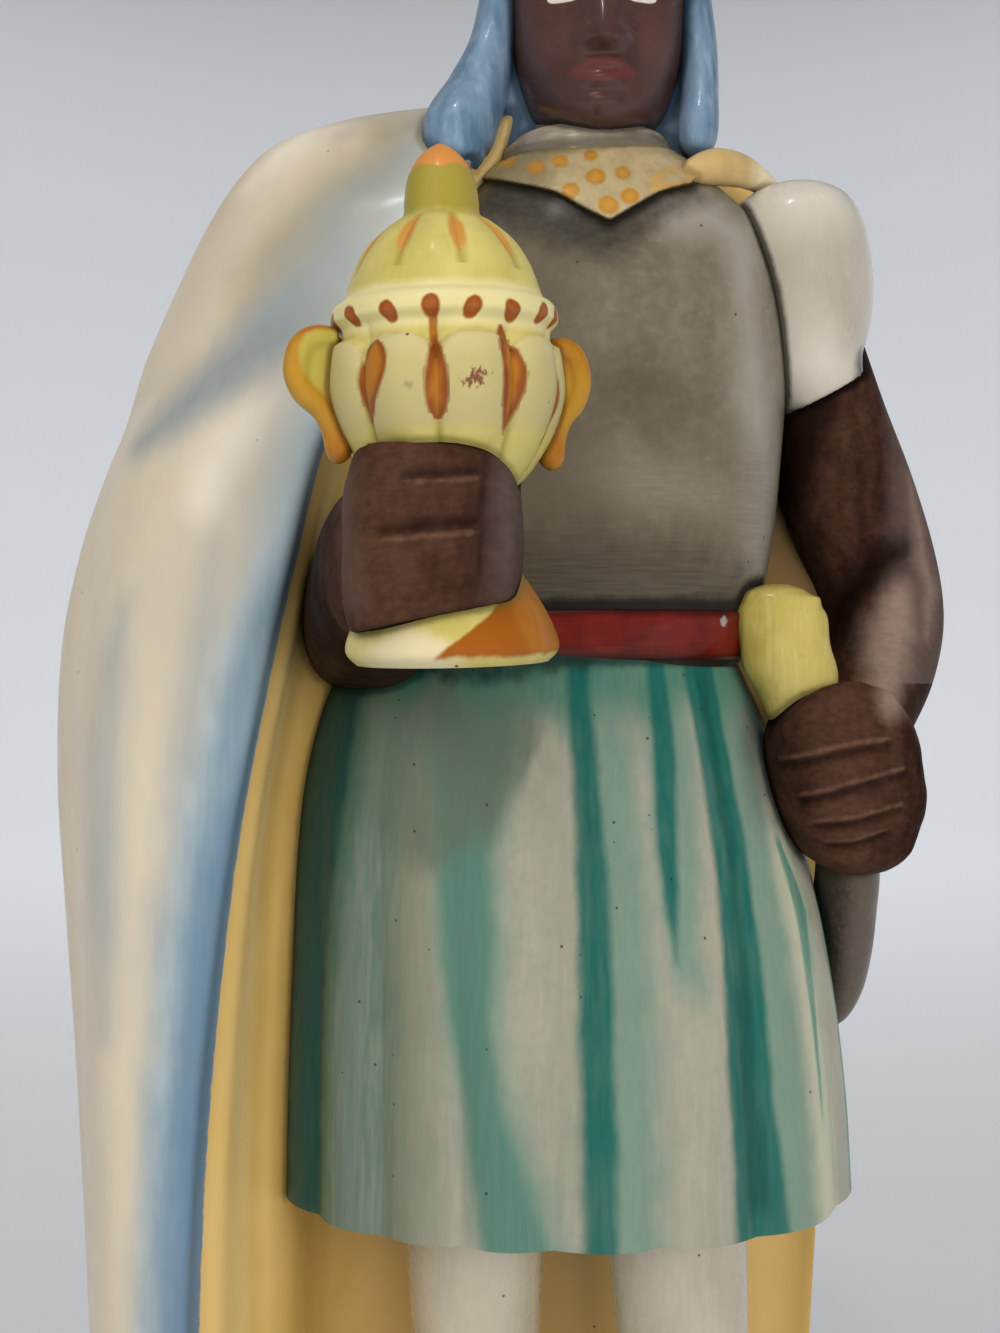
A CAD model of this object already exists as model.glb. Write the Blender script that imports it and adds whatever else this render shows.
import math
from functools import partial

import bpy
import numpy as np
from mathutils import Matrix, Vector


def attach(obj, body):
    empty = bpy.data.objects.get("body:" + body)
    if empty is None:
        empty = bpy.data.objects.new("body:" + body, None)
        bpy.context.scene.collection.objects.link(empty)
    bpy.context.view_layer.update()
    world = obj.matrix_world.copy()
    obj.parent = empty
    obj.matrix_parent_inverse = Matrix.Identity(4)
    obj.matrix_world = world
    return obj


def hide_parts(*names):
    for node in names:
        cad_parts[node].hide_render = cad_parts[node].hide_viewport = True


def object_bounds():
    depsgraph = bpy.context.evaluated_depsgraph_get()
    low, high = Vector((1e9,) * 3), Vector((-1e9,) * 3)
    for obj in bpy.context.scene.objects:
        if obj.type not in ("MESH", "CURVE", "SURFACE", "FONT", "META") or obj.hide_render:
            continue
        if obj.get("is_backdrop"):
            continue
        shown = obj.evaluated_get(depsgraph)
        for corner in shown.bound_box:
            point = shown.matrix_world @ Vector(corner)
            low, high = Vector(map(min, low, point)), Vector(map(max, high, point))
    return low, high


# A hand-painted, glazed ceramic crib king, dressed piece by piece over its one-piece casting.
# Tables are in millimetres in the casting's own drawing, whose ground middle is moved to the origin.

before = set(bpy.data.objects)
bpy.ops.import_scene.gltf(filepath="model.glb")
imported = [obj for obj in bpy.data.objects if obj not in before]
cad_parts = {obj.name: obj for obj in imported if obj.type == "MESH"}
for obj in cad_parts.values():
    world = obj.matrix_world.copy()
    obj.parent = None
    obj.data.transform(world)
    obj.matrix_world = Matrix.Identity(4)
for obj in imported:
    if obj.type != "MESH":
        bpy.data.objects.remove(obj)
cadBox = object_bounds()
print("frame: casting loaded")

mm = 0.001
fullTurn = 2 * math.pi
groundMiddle = (-19.0, -0.5, 0.0)
baseHeight = 8.0
sharpFold = math.radians(50)
maths = "ShaderNodeMath"
pieces = {}


def toMetres(points):
    return (np.asarray(points, float) - groundMiddle) * mm


def ramp(x, low, high):
    share = np.clip((x - low) / (high - low), 0, 1)
    return share * share * (3 - 2 * share)


def bump(x, centre, width):
    return np.exp(-(((x - centre) / width) ** 2))


def mix(a, b, share):
    return a + (b - a) * share


# A sine or cosine pushed out towards the corners of a square
def squared(wave, squareness):
    return np.sign(wave) * np.abs(wave) ** (2 / squareness)


# Rows of a table of stations at shares of its length, smoothed between them
def alongRows(stations, shares):
    table = np.array(stations, float)
    last = len(table) - 1
    position = np.clip(shares, 0, 1) * last
    index = np.minimum(position.astype(int), last - 1)
    t = (position - index)[:, None]
    rows = [table[np.clip(index + step, 0, last)] for step in (-1, 0, 1, 2)]
    weights = (
        -0.5 * t + t**2 - 0.5 * t**3,
        1 - 2.5 * t**2 + 1.5 * t**3,
        0.5 * t + 2 * t**2 - 1.5 * t**3,
        -0.5 * t**2 + 0.5 * t**3,
    )
    return sum(weight * row for weight, row in zip(weights, rows))


def atHeight(stations, height):
    rows = alongRows(stations, np.linspace(0, 1, 2001))
    return rows[np.argmin(np.abs(rows[:, 0] - height))]


# An upright rounded form: levels of height, left, right, front, back. Its seam is at the back.
def uprightGrid(form, relief=None):
    levels = alongRows(form["levels"], np.linspace(0, 1, form["rows"] + 1))
    turn = np.arange(form["columns"]) / form["columns"] * fullTurn - math.pi
    angle = (turn - form.get("warp", 0) * np.sin(turn))[None]
    height, left, right, front, back = (levels[:, k : k + 1] for k in range(5))
    sine, cosine = np.sin(angle), np.cos(angle)
    out = relief(angle, height) if relief else 0
    x = (right + left) / 2 + (right - left) / 2 * squared(sine, form["squareness"]) + out * sine
    y = np.where(cosine > 0, front, back) * np.abs(squared(cosine, form["squareness"])) - out * cosine
    z = height + 0 * angle
    return np.stack([x, y, z], -1), angle + 0 * z, z


# A limb: stations of x, y, z, half width, half depth. Its width is kept level with side.
def limbGrid(form, relief=None):
    shares = np.linspace(0, 1, form["rows"] + 1)
    table = alongRows(form["stations"], shares)
    ahead, behind = (alongRows(form["stations"], shares + step)[:, :3] for step in (0.01, -0.01))
    forward = ahead - behind
    forward /= np.linalg.norm(forward, axis=1, keepdims=True)
    side = np.array(form.get("side", (1, 0, 0)), float)
    across = side - forward * (forward @ side)[:, None]
    across /= np.linalg.norm(across, axis=1, keepdims=True)
    over = np.cross(forward, across)
    angle = (np.arange(form["columns"]) / form["columns"] * fullTurn)[None]
    squareness = form.get("squareness", 2)
    proud = 1 + (relief(angle, shares[:, None]) if relief else 0)
    u = squared(np.cos(angle), squareness) * table[:, 3:4] * proud
    v = squared(np.sin(angle), squareness) * table[:, 4:5] * proud
    return table[:, None, :3] + across[:, None] * u[..., None] + over[:, None] * v[..., None]


# The quads round a tube of points
def tubeFaces(rows, columns):
    r, c = np.meshgrid(np.arange(rows - 1), np.arange(columns), indexing="ij")
    ahead = (c + 1) % columns
    corners = [r * columns + c, r * columns + ahead, (r + 1) * columns + ahead, (r + 1) * columns + c]
    return np.stack(corners, -1).reshape(-1, 4).tolist()


# Vertices and faces of a tube of points that is closed by a middle point at each end
def closedFaces(points):
    rows, columns = points.shape[:2]
    vertices = np.concatenate([points.reshape(-1, 3), points[0].mean(0)[None], points[-1].mean(0)[None]])
    ring = np.arange(columns)
    ahead = (ring + 1) % columns
    low, top = rows * columns, (rows - 1) * columns
    faces = tubeFaces(rows, columns)
    faces += np.stack([0 * ring + low, ahead, ring], -1).tolist()
    faces += np.stack([0 * ring + low + 1, top + ring, top + ahead], -1).tolist()
    return vertices, faces


# Painting fields: one number at each vertex, in millimetres, positive where its colour lies
def setFields(mesh, fields):
    for name, values in fields.items():
        field = mesh.attributes.get(name) or mesh.attributes.new(name, "FLOAT", "POINT")
        field.data.foreach_set("value", np.ascontiguousarray(values, dtype=np.float32).ravel())


# A field kept to one part of a piece, and well below zero on the rest of it
def onlyOn(part, field):
    return np.where(part, field, -9.0)


def placed(name, data):
    made = bpy.data.objects.new(name, data)
    bpy.context.scene.collection.objects.link(made)
    return made


def newPiece(name, vertices, faces, fields=None):
    mesh = bpy.data.meshes.new(name)
    mesh.from_pydata(toMetres(vertices).tolist(), [], faces)
    mesh.shade_smooth()
    mesh.set_sharp_from_angle(angle=sharpFold)
    setFields(mesh, fields or {})
    pieces[name] = placed(name, mesh)
    return pieces[name]


# A piece straight from one grid, its painting fields given on the same grid
def gridPiece(name, points, fields=None):
    spread = {}
    for key, values in (fields or {}).items():
        spread[key] = np.append(values.ravel(), [values[0].mean(), values[-1].mean()])
    return newPiece(name, *closedFaces(points), spread)


def plainMesh(piece):
    graph = bpy.context.evaluated_depsgraph_get()
    made = bpy.data.meshes.new_from_object(piece.evaluated_get(graph))
    piece.modifiers.clear()
    piece.data = made
    return made


# A piece softened as clay: remeshed in small voxels and smoothed, so that its forms meet in fillets
def softened(piece, voxel, passes):
    remesh = piece.modifiers.new("clay", "REMESH")
    remesh.mode = "VOXEL"
    remesh.voxel_size = voxel * mm
    smooth = piece.modifiers.new("fillet", "SMOOTH")
    smooth.factor = 0.5
    smooth.iterations = passes
    plainMesh(piece).shade_smooth()
    return piece


# Several grids fused into one soft piece
def fusedPiece(name, grids, voxel, passes=3):
    vertices, faces, start = [], [], 0
    for grid in grids:
        points, sides = closedFaces(grid)
        vertices.append(points)
        faces += [[corner + start for corner in face] for face in sides]
        start += len(points)
    return softened(newPiece(name, np.concatenate(vertices), faces), voxel, passes)


def valuesOf(items, key, width=1, kind=float):
    flat = np.empty(len(items) * width, kind)
    items.foreach_get(key, flat)
    return flat.reshape(-1, width) if width > 1 else flat


# Where a piece's vertices are, in the drawing's millimetres
def drawnPoints(piece):
    return valuesOf(piece.data.vertices, "co", 3) / mm + groundMiddle


# A brush stroke down a form: rows of height, left edge, right edge. Positive inside, in millimetres.
def strokeField(across, height, rows, scale):
    table = np.array(sorted(rows), float)
    left = np.interp(height, table[:, 0], table[:, 1])
    right = np.interp(height, table[:, 0], table[:, 2])
    inside = ((right - left) / 2 - np.abs(across - (left + right) / 2)) * scale
    return np.minimum(inside, np.minimum(height - table[0, 0], table[-1, 0] - height) * 0.5 + 0.6)


# A brush stroke seen from the front: rows of x, height, half width along its middle. Positive inside.
def frontStroke(x, height, path):
    best = np.full(np.shape(x), -99.0)
    for (x0, z0, w0), (x1, z1, w1) in zip(path, path[1:]):
        dx, dz = x1 - x0, z1 - z0
        t = np.clip(((x - x0) * dx + (height - z0) * dz) / (dx * dx + dz * dz), 0, 1)
        best = np.maximum(best, mix(w0, w1, t) - np.hypot(x - x0 - t * dx, height - z0 - t * dz))
    return best


def frontStrokes(x, height, paths):
    return np.max([frontStroke(x, height, path) for path in paths], 0)


# Presses lines into a finished piece, like a modelling tool drawn over its front
def engrave(piece, paths, depth, limit):
    mesh = piece.data
    points = drawnPoints(piece)
    normals = valuesOf(mesh.vertex_normals, "vector", 3)
    near = frontStrokes(points[:, 0], points[:, 2], paths)
    facing = ramp(-normals[:, 1], 0.05, 0.5) * ramp(limit - points[:, 1], 0, 2)
    moved = points - normals * (depth * ramp(near, -1.0, 0.6) * facing)[:, None]
    mesh.vertices.foreach_set("co", toMetres(moved).ravel())
    mesh.update()
    return onlyOn(facing > 0.1, near)


# Adds a node with its settings; its inputs, by name or in order, are values, or nodes and sockets to link
def addNode(tree, kind, inputs=(), **settings):
    node = tree.nodes.new(kind)
    for key, value in settings.items():
        setattr(node, key, value)
    for key, value in inputs.items() if isinstance(inputs, dict) else enumerate(inputs):
        if isinstance(value, bpy.types.Node):
            value = value.outputs[0]
        if isinstance(value, bpy.types.NodeSocket):
            tree.links.new(value, node.inputs[key])
        else:
            node.inputs[key].default_value = value
    return node


def toLinear(hexColour):
    parts = [int(hexColour[k : k + 2], 16) / 255 for k in (1, 3, 5)]
    return tuple(c / 12.92 if c <= 0.04045 else ((c + 0.055) / 1.055) ** 2.4 for c in parts) + (1.0,)


# A layer of paint: where its field is positive, with an edge of some softness that wobbles by so much at some
# size in millimetres, its strength, and how much a dry brush leaves out
def layer(field, colour, soft=0.5, wobble=0.5, size=3.0, strength=1.0, dry=0, **brush):
    given = {"field": field, "colour": colour, "soft": soft, "wobble": wobble, "size": size}
    return {**given, "strength": strength, "dry": dry, "bristle": 0.8, "stretch": (1, 1, 2), **brush}


# What a glaze has unless its own settings say otherwise: sizes in millimetres, brush as the stretch of its
# strokes, mottle and specks as shares. Its crease is a colour, a reach and a strength
plainGlaze = {
    "washSize": 11, "washShare": 0.8, "streakShare": 0.35, "brush": (1, 1, 9), "bristle": 0.7,
    "mottle": 0, "mottleSize": 1.6, "layers": [], "specks": 0, "speckColour": "#2c2623", "speckGap": 2.6,
    "roughness": (0.16, 0.34), "ripple": 0.12, "ridges": 0.03,
    "ior": 1.5, "gloss": 0.4, "coat": 0.6, "coatRoughness": 0.08,
}


# Under-glaze paint on ceramic: a base colour with washes and streaks, its layers, the dark colour that pools
# in the creases, then kiln specks, all under a glaze with slow ripples and the faint ridges of the brush
def paintedGlaze(name, settings):
    paint = {**plainGlaze, **settings}
    material = bpy.data.materials.new(name)
    material.use_nodes = True
    tree = material.node_tree
    add = partial(addNode, tree)
    shader = tree.nodes["Principled BSDF"]
    place = add("ShaderNodeTexCoord").outputs["Object"]

    def pattern(size, stretch, detail, seed):
        scale = [1 / (size * share * mm) for share in stretch]
        start = (seed, 1.7 * seed, -seed)
        spot = add("ShaderNodeMapping", {"Vector": place, "Location": start, "Scale": scale})
        return add("ShaderNodeTexNoise", {"Vector": spot, "Scale": 1.0, "Detail": detail, "Roughness": 0.55})

    # lays a colour where a value has passed from low to high
    def laid(under, hexColour, value, low, high, strength):
        ends = {"Value": value, "From Min": low, "From Max": high, "To Max": strength}
        share = add("ShaderNodeMapRange", ends, interpolation_type="SMOOTHSTEP")
        colours = {0: share, 6: under, 7: toLinear(hexColour)}
        return add("ShaderNodeMix", colours, data_type="RGBA").outputs[2]

    washes = pattern(paint["washSize"], (1, 1, 2.2), 4.0, 1.3)
    streaks = pattern(paint["bristle"], paint["brush"], 4.0, 3.1)
    colour = laid(toLinear(paint["base"]), paint["wash"], washes, 0.36, 0.7, paint["washShare"])
    colour = laid(colour, paint["streak"], streaks, 0.42, 0.78, paint["streakShare"])
    if paint["mottle"]:
        blotches = pattern(paint["mottleSize"], (1, 1, 1), 5.0, 51.0)
        colour = laid(colour, paint["wash"], blotches, 0.44, 0.66, paint["mottle"])
    for number, row in enumerate(paint["layers"]):
        field = add("ShaderNodeAttribute", attribute_name=row["field"]).outputs["Fac"]
        drift = 2.6 * row["wobble"]
        wander = pattern(row["size"], row["stretch"], 4.0, 5.0 + number)
        edge = add(maths, (wander, drift, field), operation="MULTIPLY_ADD")
        strength = row["strength"]
        if row["dry"]:
            bristles = pattern(row["bristle"], row.get("brush", paint["brush"]), 4.0, 9.0 + number)
            ends = (bristles, 0.3, 0.72, strength, strength * (1 - row["dry"]))
            strength = add("ShaderNodeMapRange", ends, interpolation_type="SMOOTHSTEP")
        colour = laid(colour, row["colour"], edge, drift / 2 - row["soft"], drift / 2 + row["soft"], strength)
    shade, reach, strength = paint["crease"]
    crevice = add("ShaderNodeAttribute", attribute_name="crevice").outputs["Fac"]
    uneven = (pattern(2.2, (1, 1, 1.5), 3.0, 21.0), -0.7 * reach, crevice)
    near = add(maths, uneven, operation="MULTIPLY_ADD")
    colour = laid(colour, shade, near, reach, 0.0, strength)
    if paint["specks"]:
        scale = 1 / (paint["speckGap"] * mm)
        cells = add("ShaderNodeTexVoronoi", {"Vector": place, "Scale": scale}, feature="F1")
        chance = add("ShaderNodeSeparateColor", (cells.outputs["Color"],))
        chosen = add(maths, (chance, paint["specks"]), operation="LESS_THAN")
        strength = add(maths, (chosen, 0.85), operation="MULTIPLY")
        colour = laid(colour, paint["speckColour"], cells.outputs["Distance"], 0.11, 0.06, strength)
    tree.links.new(colour, shader.inputs["Base Color"])

    low, high = paint["roughness"]
    ends = (pattern(5.0, (1, 1, 1), 4.0, 31.0), 0.3, 0.7, low, high)
    sheen = add("ShaderNodeMapRange", ends, interpolation_type="SMOOTHSTEP")
    tree.links.new(sheen.outputs[0], shader.inputs["Roughness"])
    ripple = add(maths, (pattern(4.5, (1, 1, 1.4), 2.0, 41.0), paint["ripple"]), operation="MULTIPLY")
    height = add(maths, (streaks, paint["ridges"], ripple), operation="MULTIPLY_ADD")
    bumped = add("ShaderNodeBump", {"Strength": 1.0, "Distance": mm, "Height": height})
    tree.links.new(bumped.outputs[0], shader.inputs["Normal"])
    shader.inputs["IOR"].default_value = paint["ior"]
    shader.inputs["Specular IOR Level"].default_value = paint["gloss"]
    shader.inputs["Coat Weight"].default_value = paint["coat"]
    shader.inputs["Coat Roughness"].default_value = paint["coatRoughness"]
    return material


# A Geometry Nodes tree with its named inputs, a way to add nodes to it, and the sockets of its inputs
def openTree(name, **kinds):
    tree = bpy.data.node_groups.new(name, "GeometryNodeTree")
    sockets = {"Geometry": "Geometry", **{label: kind for kind, labels in kinds.items() for label in labels}}
    for label, kind in {**sockets, "Glaze": "Material"}.items():
        tree.interface.new_socket(label, in_out="INPUT", socket_type="NodeSocket" + kind)
    tree.interface.new_socket("Geometry", in_out="OUTPUT", socket_type="NodeSocketGeometry")
    return tree, partial(addNode, tree), addNode(tree, "NodeGroupInput").outputs


# Keeps a field on the mesh as a named attribute
def keepField(add, geometry, name, value):
    inputs = {"Geometry": geometry, "Name": name, "Value": value}
    return add("GeometryNodeStoreNamedAttribute", inputs, data_type="FLOAT")


# The end of a tree: instances made real and the glaze put on
def closeTree(tree, geometry, glaze):
    whole = addNode(tree, "GeometryNodeRealizeInstances", (geometry,))
    painted = addNode(tree, "GeometryNodeSetMaterial", {"Geometry": whole, "Material": glaze})
    addNode(tree, "NodeGroupOutput", (painted,))
    return tree


def runTree(piece, tree, values):
    modifier = piece.modifiers.new(tree.name, "NODES")
    modifier.node_group = tree
    for item in tree.interface.items_tree:
        if item.in_out == "INPUT" and item.name in values:
            modifier[item.identifier] = values[item.name]
    return plainMesh(piece)


# Tunic: waist to shoulders, stations of height, left, right, front, back
tunic = {
    "levels": [
        (168, -34, 21.4, -17.6, 14.6), (172, -33.8, 23.4, -18.3, 15), (175, -33.5, 24.5, -18.4, 15.2),
        (180, -33, 26.2, -18.6, 15.5), (190, -32, 28.2, -19.5, 16.5), (202, -31.5, 29.4, -21, 18),
        (216, -30.5, 30.2, -22, 19), (228, -28, 29.3, -21.5, 18), (238, -25, 26, -18.5, 16),
        (245, -18, 19, -14, 14), (250, -11, 12, -10, 11),
    ],
    "squareness": 2.3, "rows": 130, "columns": 280,
    # where the front is brushed lighter or darker: x, height, half width
    "strokes": {
        "middle": [(-3, 212, 2), (6, 211, 4), (13, 209, 4), (8, 204, 3)],
        "lightPatch": [(-3, 198, 2), (4, 197.5, 3.6), (12, 196, 3.4), (18, 195, 2)],
        "lightSide": [
            (11, 235, 2), (17, 236, 3), (21, 234, 2.6), (21.8, 224, 2), (23.4, 210, 2.8), (25.8, 198, 3.8),
            (24.6, 187, 3.6), (23, 178, 3),
        ],
    },
    "neckline": [
        (-19, 241.7, 4.4), (-14, 239.6, 5), (-8.3, 237.4, 5.2), (-3.2, 234.8, 4.8), (2.1, 232.2, 3.4),
        (7.6, 235.4, 1.4), (14, 239.6, 0.6),
    ],
}
# grey-taupe under-glaze brushed over white clay: satin, smoky towards every edge
tunicPaint = {
    "base": "#766e5d", "wash": "#625b4b", "washSize": 9, "washShare": 0.85, "streak": "#8b8474",
    "streakShare": 0.45, "brush": (1.4, 1.4, 1), "bristle": 1.6, "mottle": 0.4, "mottleSize": 2.0,
    "layers": [
        layer("middle", "#564f40", 4, 3, 7, 0.7, 0.3),
        layer("lightPatch", "#9b927c", 4, 3, 7, 0.7, 0.3),
        layer("lightSide", "#9f9b92", 4.5, 1.6, 8, 0.85),
        layer("cupSide", "#5f5749", 7, 4, 8, 0.7),
        layer("waist", "#2b2720", 5.0, 3.5, strength=0.92, dry=0.25, brush=(6, 6, 0.6)),
        layer("belly", "#6a6250", 7, 5, strength=0.5, dry=0.5, brush=(8, 8, 0.5)),
        layer("neckline", "#2e2b25", 3.2, 1.6, strength=0.9, dry=0.2),
        layer("side", "#514a3e", 2.6, 1.2, strength=0.8),
        layer("beltEdge", "#231d18", 1.0, 1.0, strength=0.9, dry=0.25, brush=(8, 8, 0.5)),
    ],
    "crease": ("#1a1612", 1.7, 0.95), "specks": 0.15, "roughness": (0.36, 0.52), "gloss": 0.25,
    "coat": 0.1, "coatRoughness": 0.2, "ripple": 0.05, "ridges": 0.035,
}


def makeTunic():
    points, angle, height = uprightGrid(tunic)
    x = points[..., 0]
    front = points[..., 1] < 4
    fields = {name: onlyOn(front, frontStroke(x, height, path)) for name, path in tunic["strokes"].items()}
    fields.update({
        "cupSide": -3 - x + ramp(height, 215, 190) * 5 + ramp(height, 226, 238) * 7,
        "waist": 190 - height - 0.03 * np.maximum(0, x - 10) ** 2,
        "belly": 203 - height + np.maximum(0, -x - 4) * 0.5,
        "neckline": frontStroke(x, height, tunic["neckline"]),
        "side": (np.abs(angle) - 1.3) * 20,
        "beltEdge": 180.4 - height + ramp(x, -2, 10) * 0.5,
    })
    gridPiece("tunic", points, fields)


# Belt: a band proud of the tunic, its nick as x, height and radius
belt = {
    "bottom": 171.6, "top": 179.0, "proud": 0.7, "rim": 0.7, "nick": (18.9, 177.4, 0.75),
    "squareness": 2.3, "rows": 24, "columns": 420,
}
# dark red enamel band, brushed along, its white clay bare at one small nick
beltPaint = {
    "base": "#84180b", "wash": "#600f08", "washSize": 5, "streak": "#9c2914", "streakShare": 0.45,
    "brush": (8, 8, 0.5),
    "layers": [
        layer("rim", "#3d0d0b", 0.8, 0.5, strength=0.8),
        layer("nick", "#c8beb6", 0.25, 0.5, 0.7),
    ],
    "crease": ("#230a08", 0.8, 0.7), "specks": 0.1, "roughness": (0.28, 0.42), "gloss": 0.3,
    "coat": 0.2, "ripple": 0.1, "ridges": 0.05,
}


def makeBelt():
    ends = [atHeight(tunic["levels"], belt[key]) for key in ("bottom", "top")]
    middle = (belt["bottom"] + belt["top"]) / 2
    half = (belt["top"] - belt["bottom"]) / 2

    def band(angle, height):
        return belt["proud"] * np.clip(1 - (np.abs(height - middle) / half) ** 8, 0, 1)

    points, _, height = uprightGrid({**belt, "levels": ends}, band)
    nickX, nickHeight, nickSize = belt["nick"]
    nick = nickSize - np.hypot((points[..., 0] - nickX) * 1.2, height - nickHeight)
    rim = np.abs(height - middle) - half + belt["rim"]
    gridPiece("belt", points, {"rim": rim, "nick": onlyOn(points[..., 1] < 0, nick)})


# Skirt: hem to waist, its pleats opening towards the hem
skirt = {
    "levels": [
        (90.5, -47, 39.8, -30, 25), (107, -46.8, 38.8, -29, 24), (125, -46.4, 36.6, -27, 22),
        (141, -46, 33.4, -25, 20), (153, -45, 29.8, -23, 18), (162, -43, 27, -21, 17),
        (168, -40.2, 24.4, -19.6, 16), (173.5, -35.4, 21.8, -18.6, 15.5),
    ],
    "squareness": 2.15, "rows": 150, "columns": 520, "wall": 3.0, "hollow": 6.0, "pleats": 15,
    "depth": 1.5, "sway": 0.22, "start": 0.4, "lipRows": 6,
    # millimetres round the skirt to one degree
    "degree": 0.72,
    # how far each stroke's thin wash lies beside it, in degrees, and how much wider it is
    "washes": [(1, 1.4), (5, 2.4), (2, 2.4), (7, 2.8), (2, 0.8), (5, 2.4), (5, 2.4)],
    # where the shade under the belt ends: degrees from the front, height
    "washEnds": [(-60, 152), (-40, 147), (-24, 141), (-12, 146), (-4, 154), (1, 164)],
}
# strokes of the loaded brush down the pleats: height, left edge and right edge in degrees from the front
skirtStrokes = [
    [
        (169, -112, -54), (160, -112, -49), (153, -112, -48.5), (138, -112, -53), (119, -112, -57),
        (90, -112, -58),
    ],
    [
        (166, -26, -5), (153, -23.1, -8.8), (144.6, -22.9, -12), (133, -23, -12.2), (122, -22, -13.8),
        (110.5, -19.5, -11.9), (90, -15.4, -4),
    ],
    [
        (174, 4.6, 10.4), (156, 5.5, 10.8), (145, 4, 9.6), (133, 2.6, 8.4), (122, 1.5, 7.5),
        (111, 1.3, 6.9), (90, 0.8, 6.3),
    ],
    [(174, 28, 33.6), (156, 23.4, 29.6), (145, 20.6, 25.2), (135, 20.2, 22.4), (131, 20.8, 21.2)],
    [
        (174, 40.5, 55), (162, 37.6, 48), (153, 36.4, 46.3), (138, 33.6, 42.9), (121, 30.7, 41.4),
        (110, 29.4, 41), (90, 29.2, 43),
    ],
    [(144, 57, 60), (134, 59, 68), (125, 58.1, 63.1), (116, 57.7, 60.5), (106, 57.4, 58.4)],
    [(160, 84, 92), (130, 80, 92), (90, 78, 90)], [(168, 112, 128), (130, 108, 126), (90, 104, 122)],
]
# ivory clay body under thin sea-green strokes, wet edge on one side and washed out on the other
skirtPaint = {
    "base": "#a1a08f", "wash": "#8f9184", "washSize": 12, "washShare": 0.6, "streak": "#aeab99",
    "streakShare": 0.5, "brush": (1, 1, 16), "bristle": 1.1, "mottle": 0.3,
    "layers": [
        layer("leftShade", "#48675a", 4.5, 2.5, 7, 0.85, 0.25),
        layer("greyStreak", "#66736b", 1.5, 1.5, 4, 0.6, 0.3),
        layer("olive", "#7b7d68", 3, 2, 5, 0.7, 0.25),
        layer("wash", "#64897a", 2.6, 1.4, strength=0.8, dry=0.15),
        layer("yellowed", "#c4c5ab", 2.4, 1.2, strength=0.8, dry=0.15),
        layer("strokeB", "#4b796c", 1.3, 0.6, strength=0.85, dry=0.2),
        layer("topShade", "#5d6a59", 3.4, 3.0, 5, 0.85, 0.2),
        layer("beltBand", "#417765", 4.0, 2.0, 4, 0.9, 0.2),
        layer("tealLight", "#3f8070", 0.7, 0.5, strength=0.9, dry=0.3, bristle=1.3),
        layer("teal", "#0b5f57", 0.9, 0.5, strength=0.97, dry=0.15, bristle=1.3),
        layer("deep", "#0c4a42", 1.0, 0.8, strength=0.8, dry=0.35),
        layer("leftEdge", "#34594a", 2.6, 1.6, strength=0.85, dry=0.2),
        layer("leftDeep", "#003d3c", 1.8, 1.2, strength=0.95, dry=0.15),
        layer("underFoot", "#192d26", 1.6, 1.4, 3, 0.9, 0.2),
        layer("handShade", "#4a5450", 3.0, 1.5, 4, 0.7),
    ],
    "crease": ("#17302b", 1.1, 0.7), "specks": 0.22, "roughness": (0.34, 0.5), "gloss": 0.28,
    "coat": 0.12, "coatRoughness": 0.18, "ripple": 0.1, "ridges": 0.04,
}


# Geometry Nodes: pleats pressed into a smooth form by the angle round it
def pleatTree():
    labels = ("Pleats", "Depth", "Sway", "Start", "Hem Height", "Waist Height")
    tree, add, given = openTree("pleatedCloth", Float=labels)
    turn = add("GeometryNodeInputNamedAttribute", {"Name": "turn"}, data_type="FLOAT")
    height = add("ShaderNodeSeparateXYZ", (add("GeometryNodeInputPosition"),)).outputs[2]
    swing = add(maths, (add(maths, (turn, 2.0, given["Start"]), operation="MULTIPLY_ADD"),), operation="SINE")
    swayed = add(maths, (given["Sway"], swing, turn), operation="MULTIPLY_ADD")
    phase = add(maths, (given["Pleats"], swayed), operation="MULTIPLY")
    wave = add(maths, (add(maths, (phase, 0.5), operation="MULTIPLY"),), operation="SINE")
    crest = add(maths, (wave,), operation="ABSOLUTE")
    ends = (height, given["Waist Height"], given["Hem Height"])
    opening = add("ShaderNodeMapRange", ends, interpolation_type="SMOOTHSTEP")
    fullness = add(maths, (opening, 0.8), operation="POWER")
    depth = add(maths, (given["Depth"], fullness), operation="MULTIPLY")
    lift = add(maths, (depth, add(maths, (crest, 0.6), operation="SUBTRACT")), operation="MULTIPLY")
    back = add(maths, (lift, -1.0), operation="MULTIPLY")
    outX = add(maths, (add(maths, (turn,), operation="SINE"), lift), operation="MULTIPLY")
    outY = add(maths, (add(maths, (turn,), operation="COSINE"), back), operation="MULTIPLY")
    offset = add("ShaderNodeCombineXYZ", (outX, outY))
    moved = add("GeometryNodeSetPosition", {"Geometry": given["Geometry"], "Offset": offset})
    return closeTree(tree, keepField(add, moved, "crest", crest), given["Glaze"])


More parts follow.
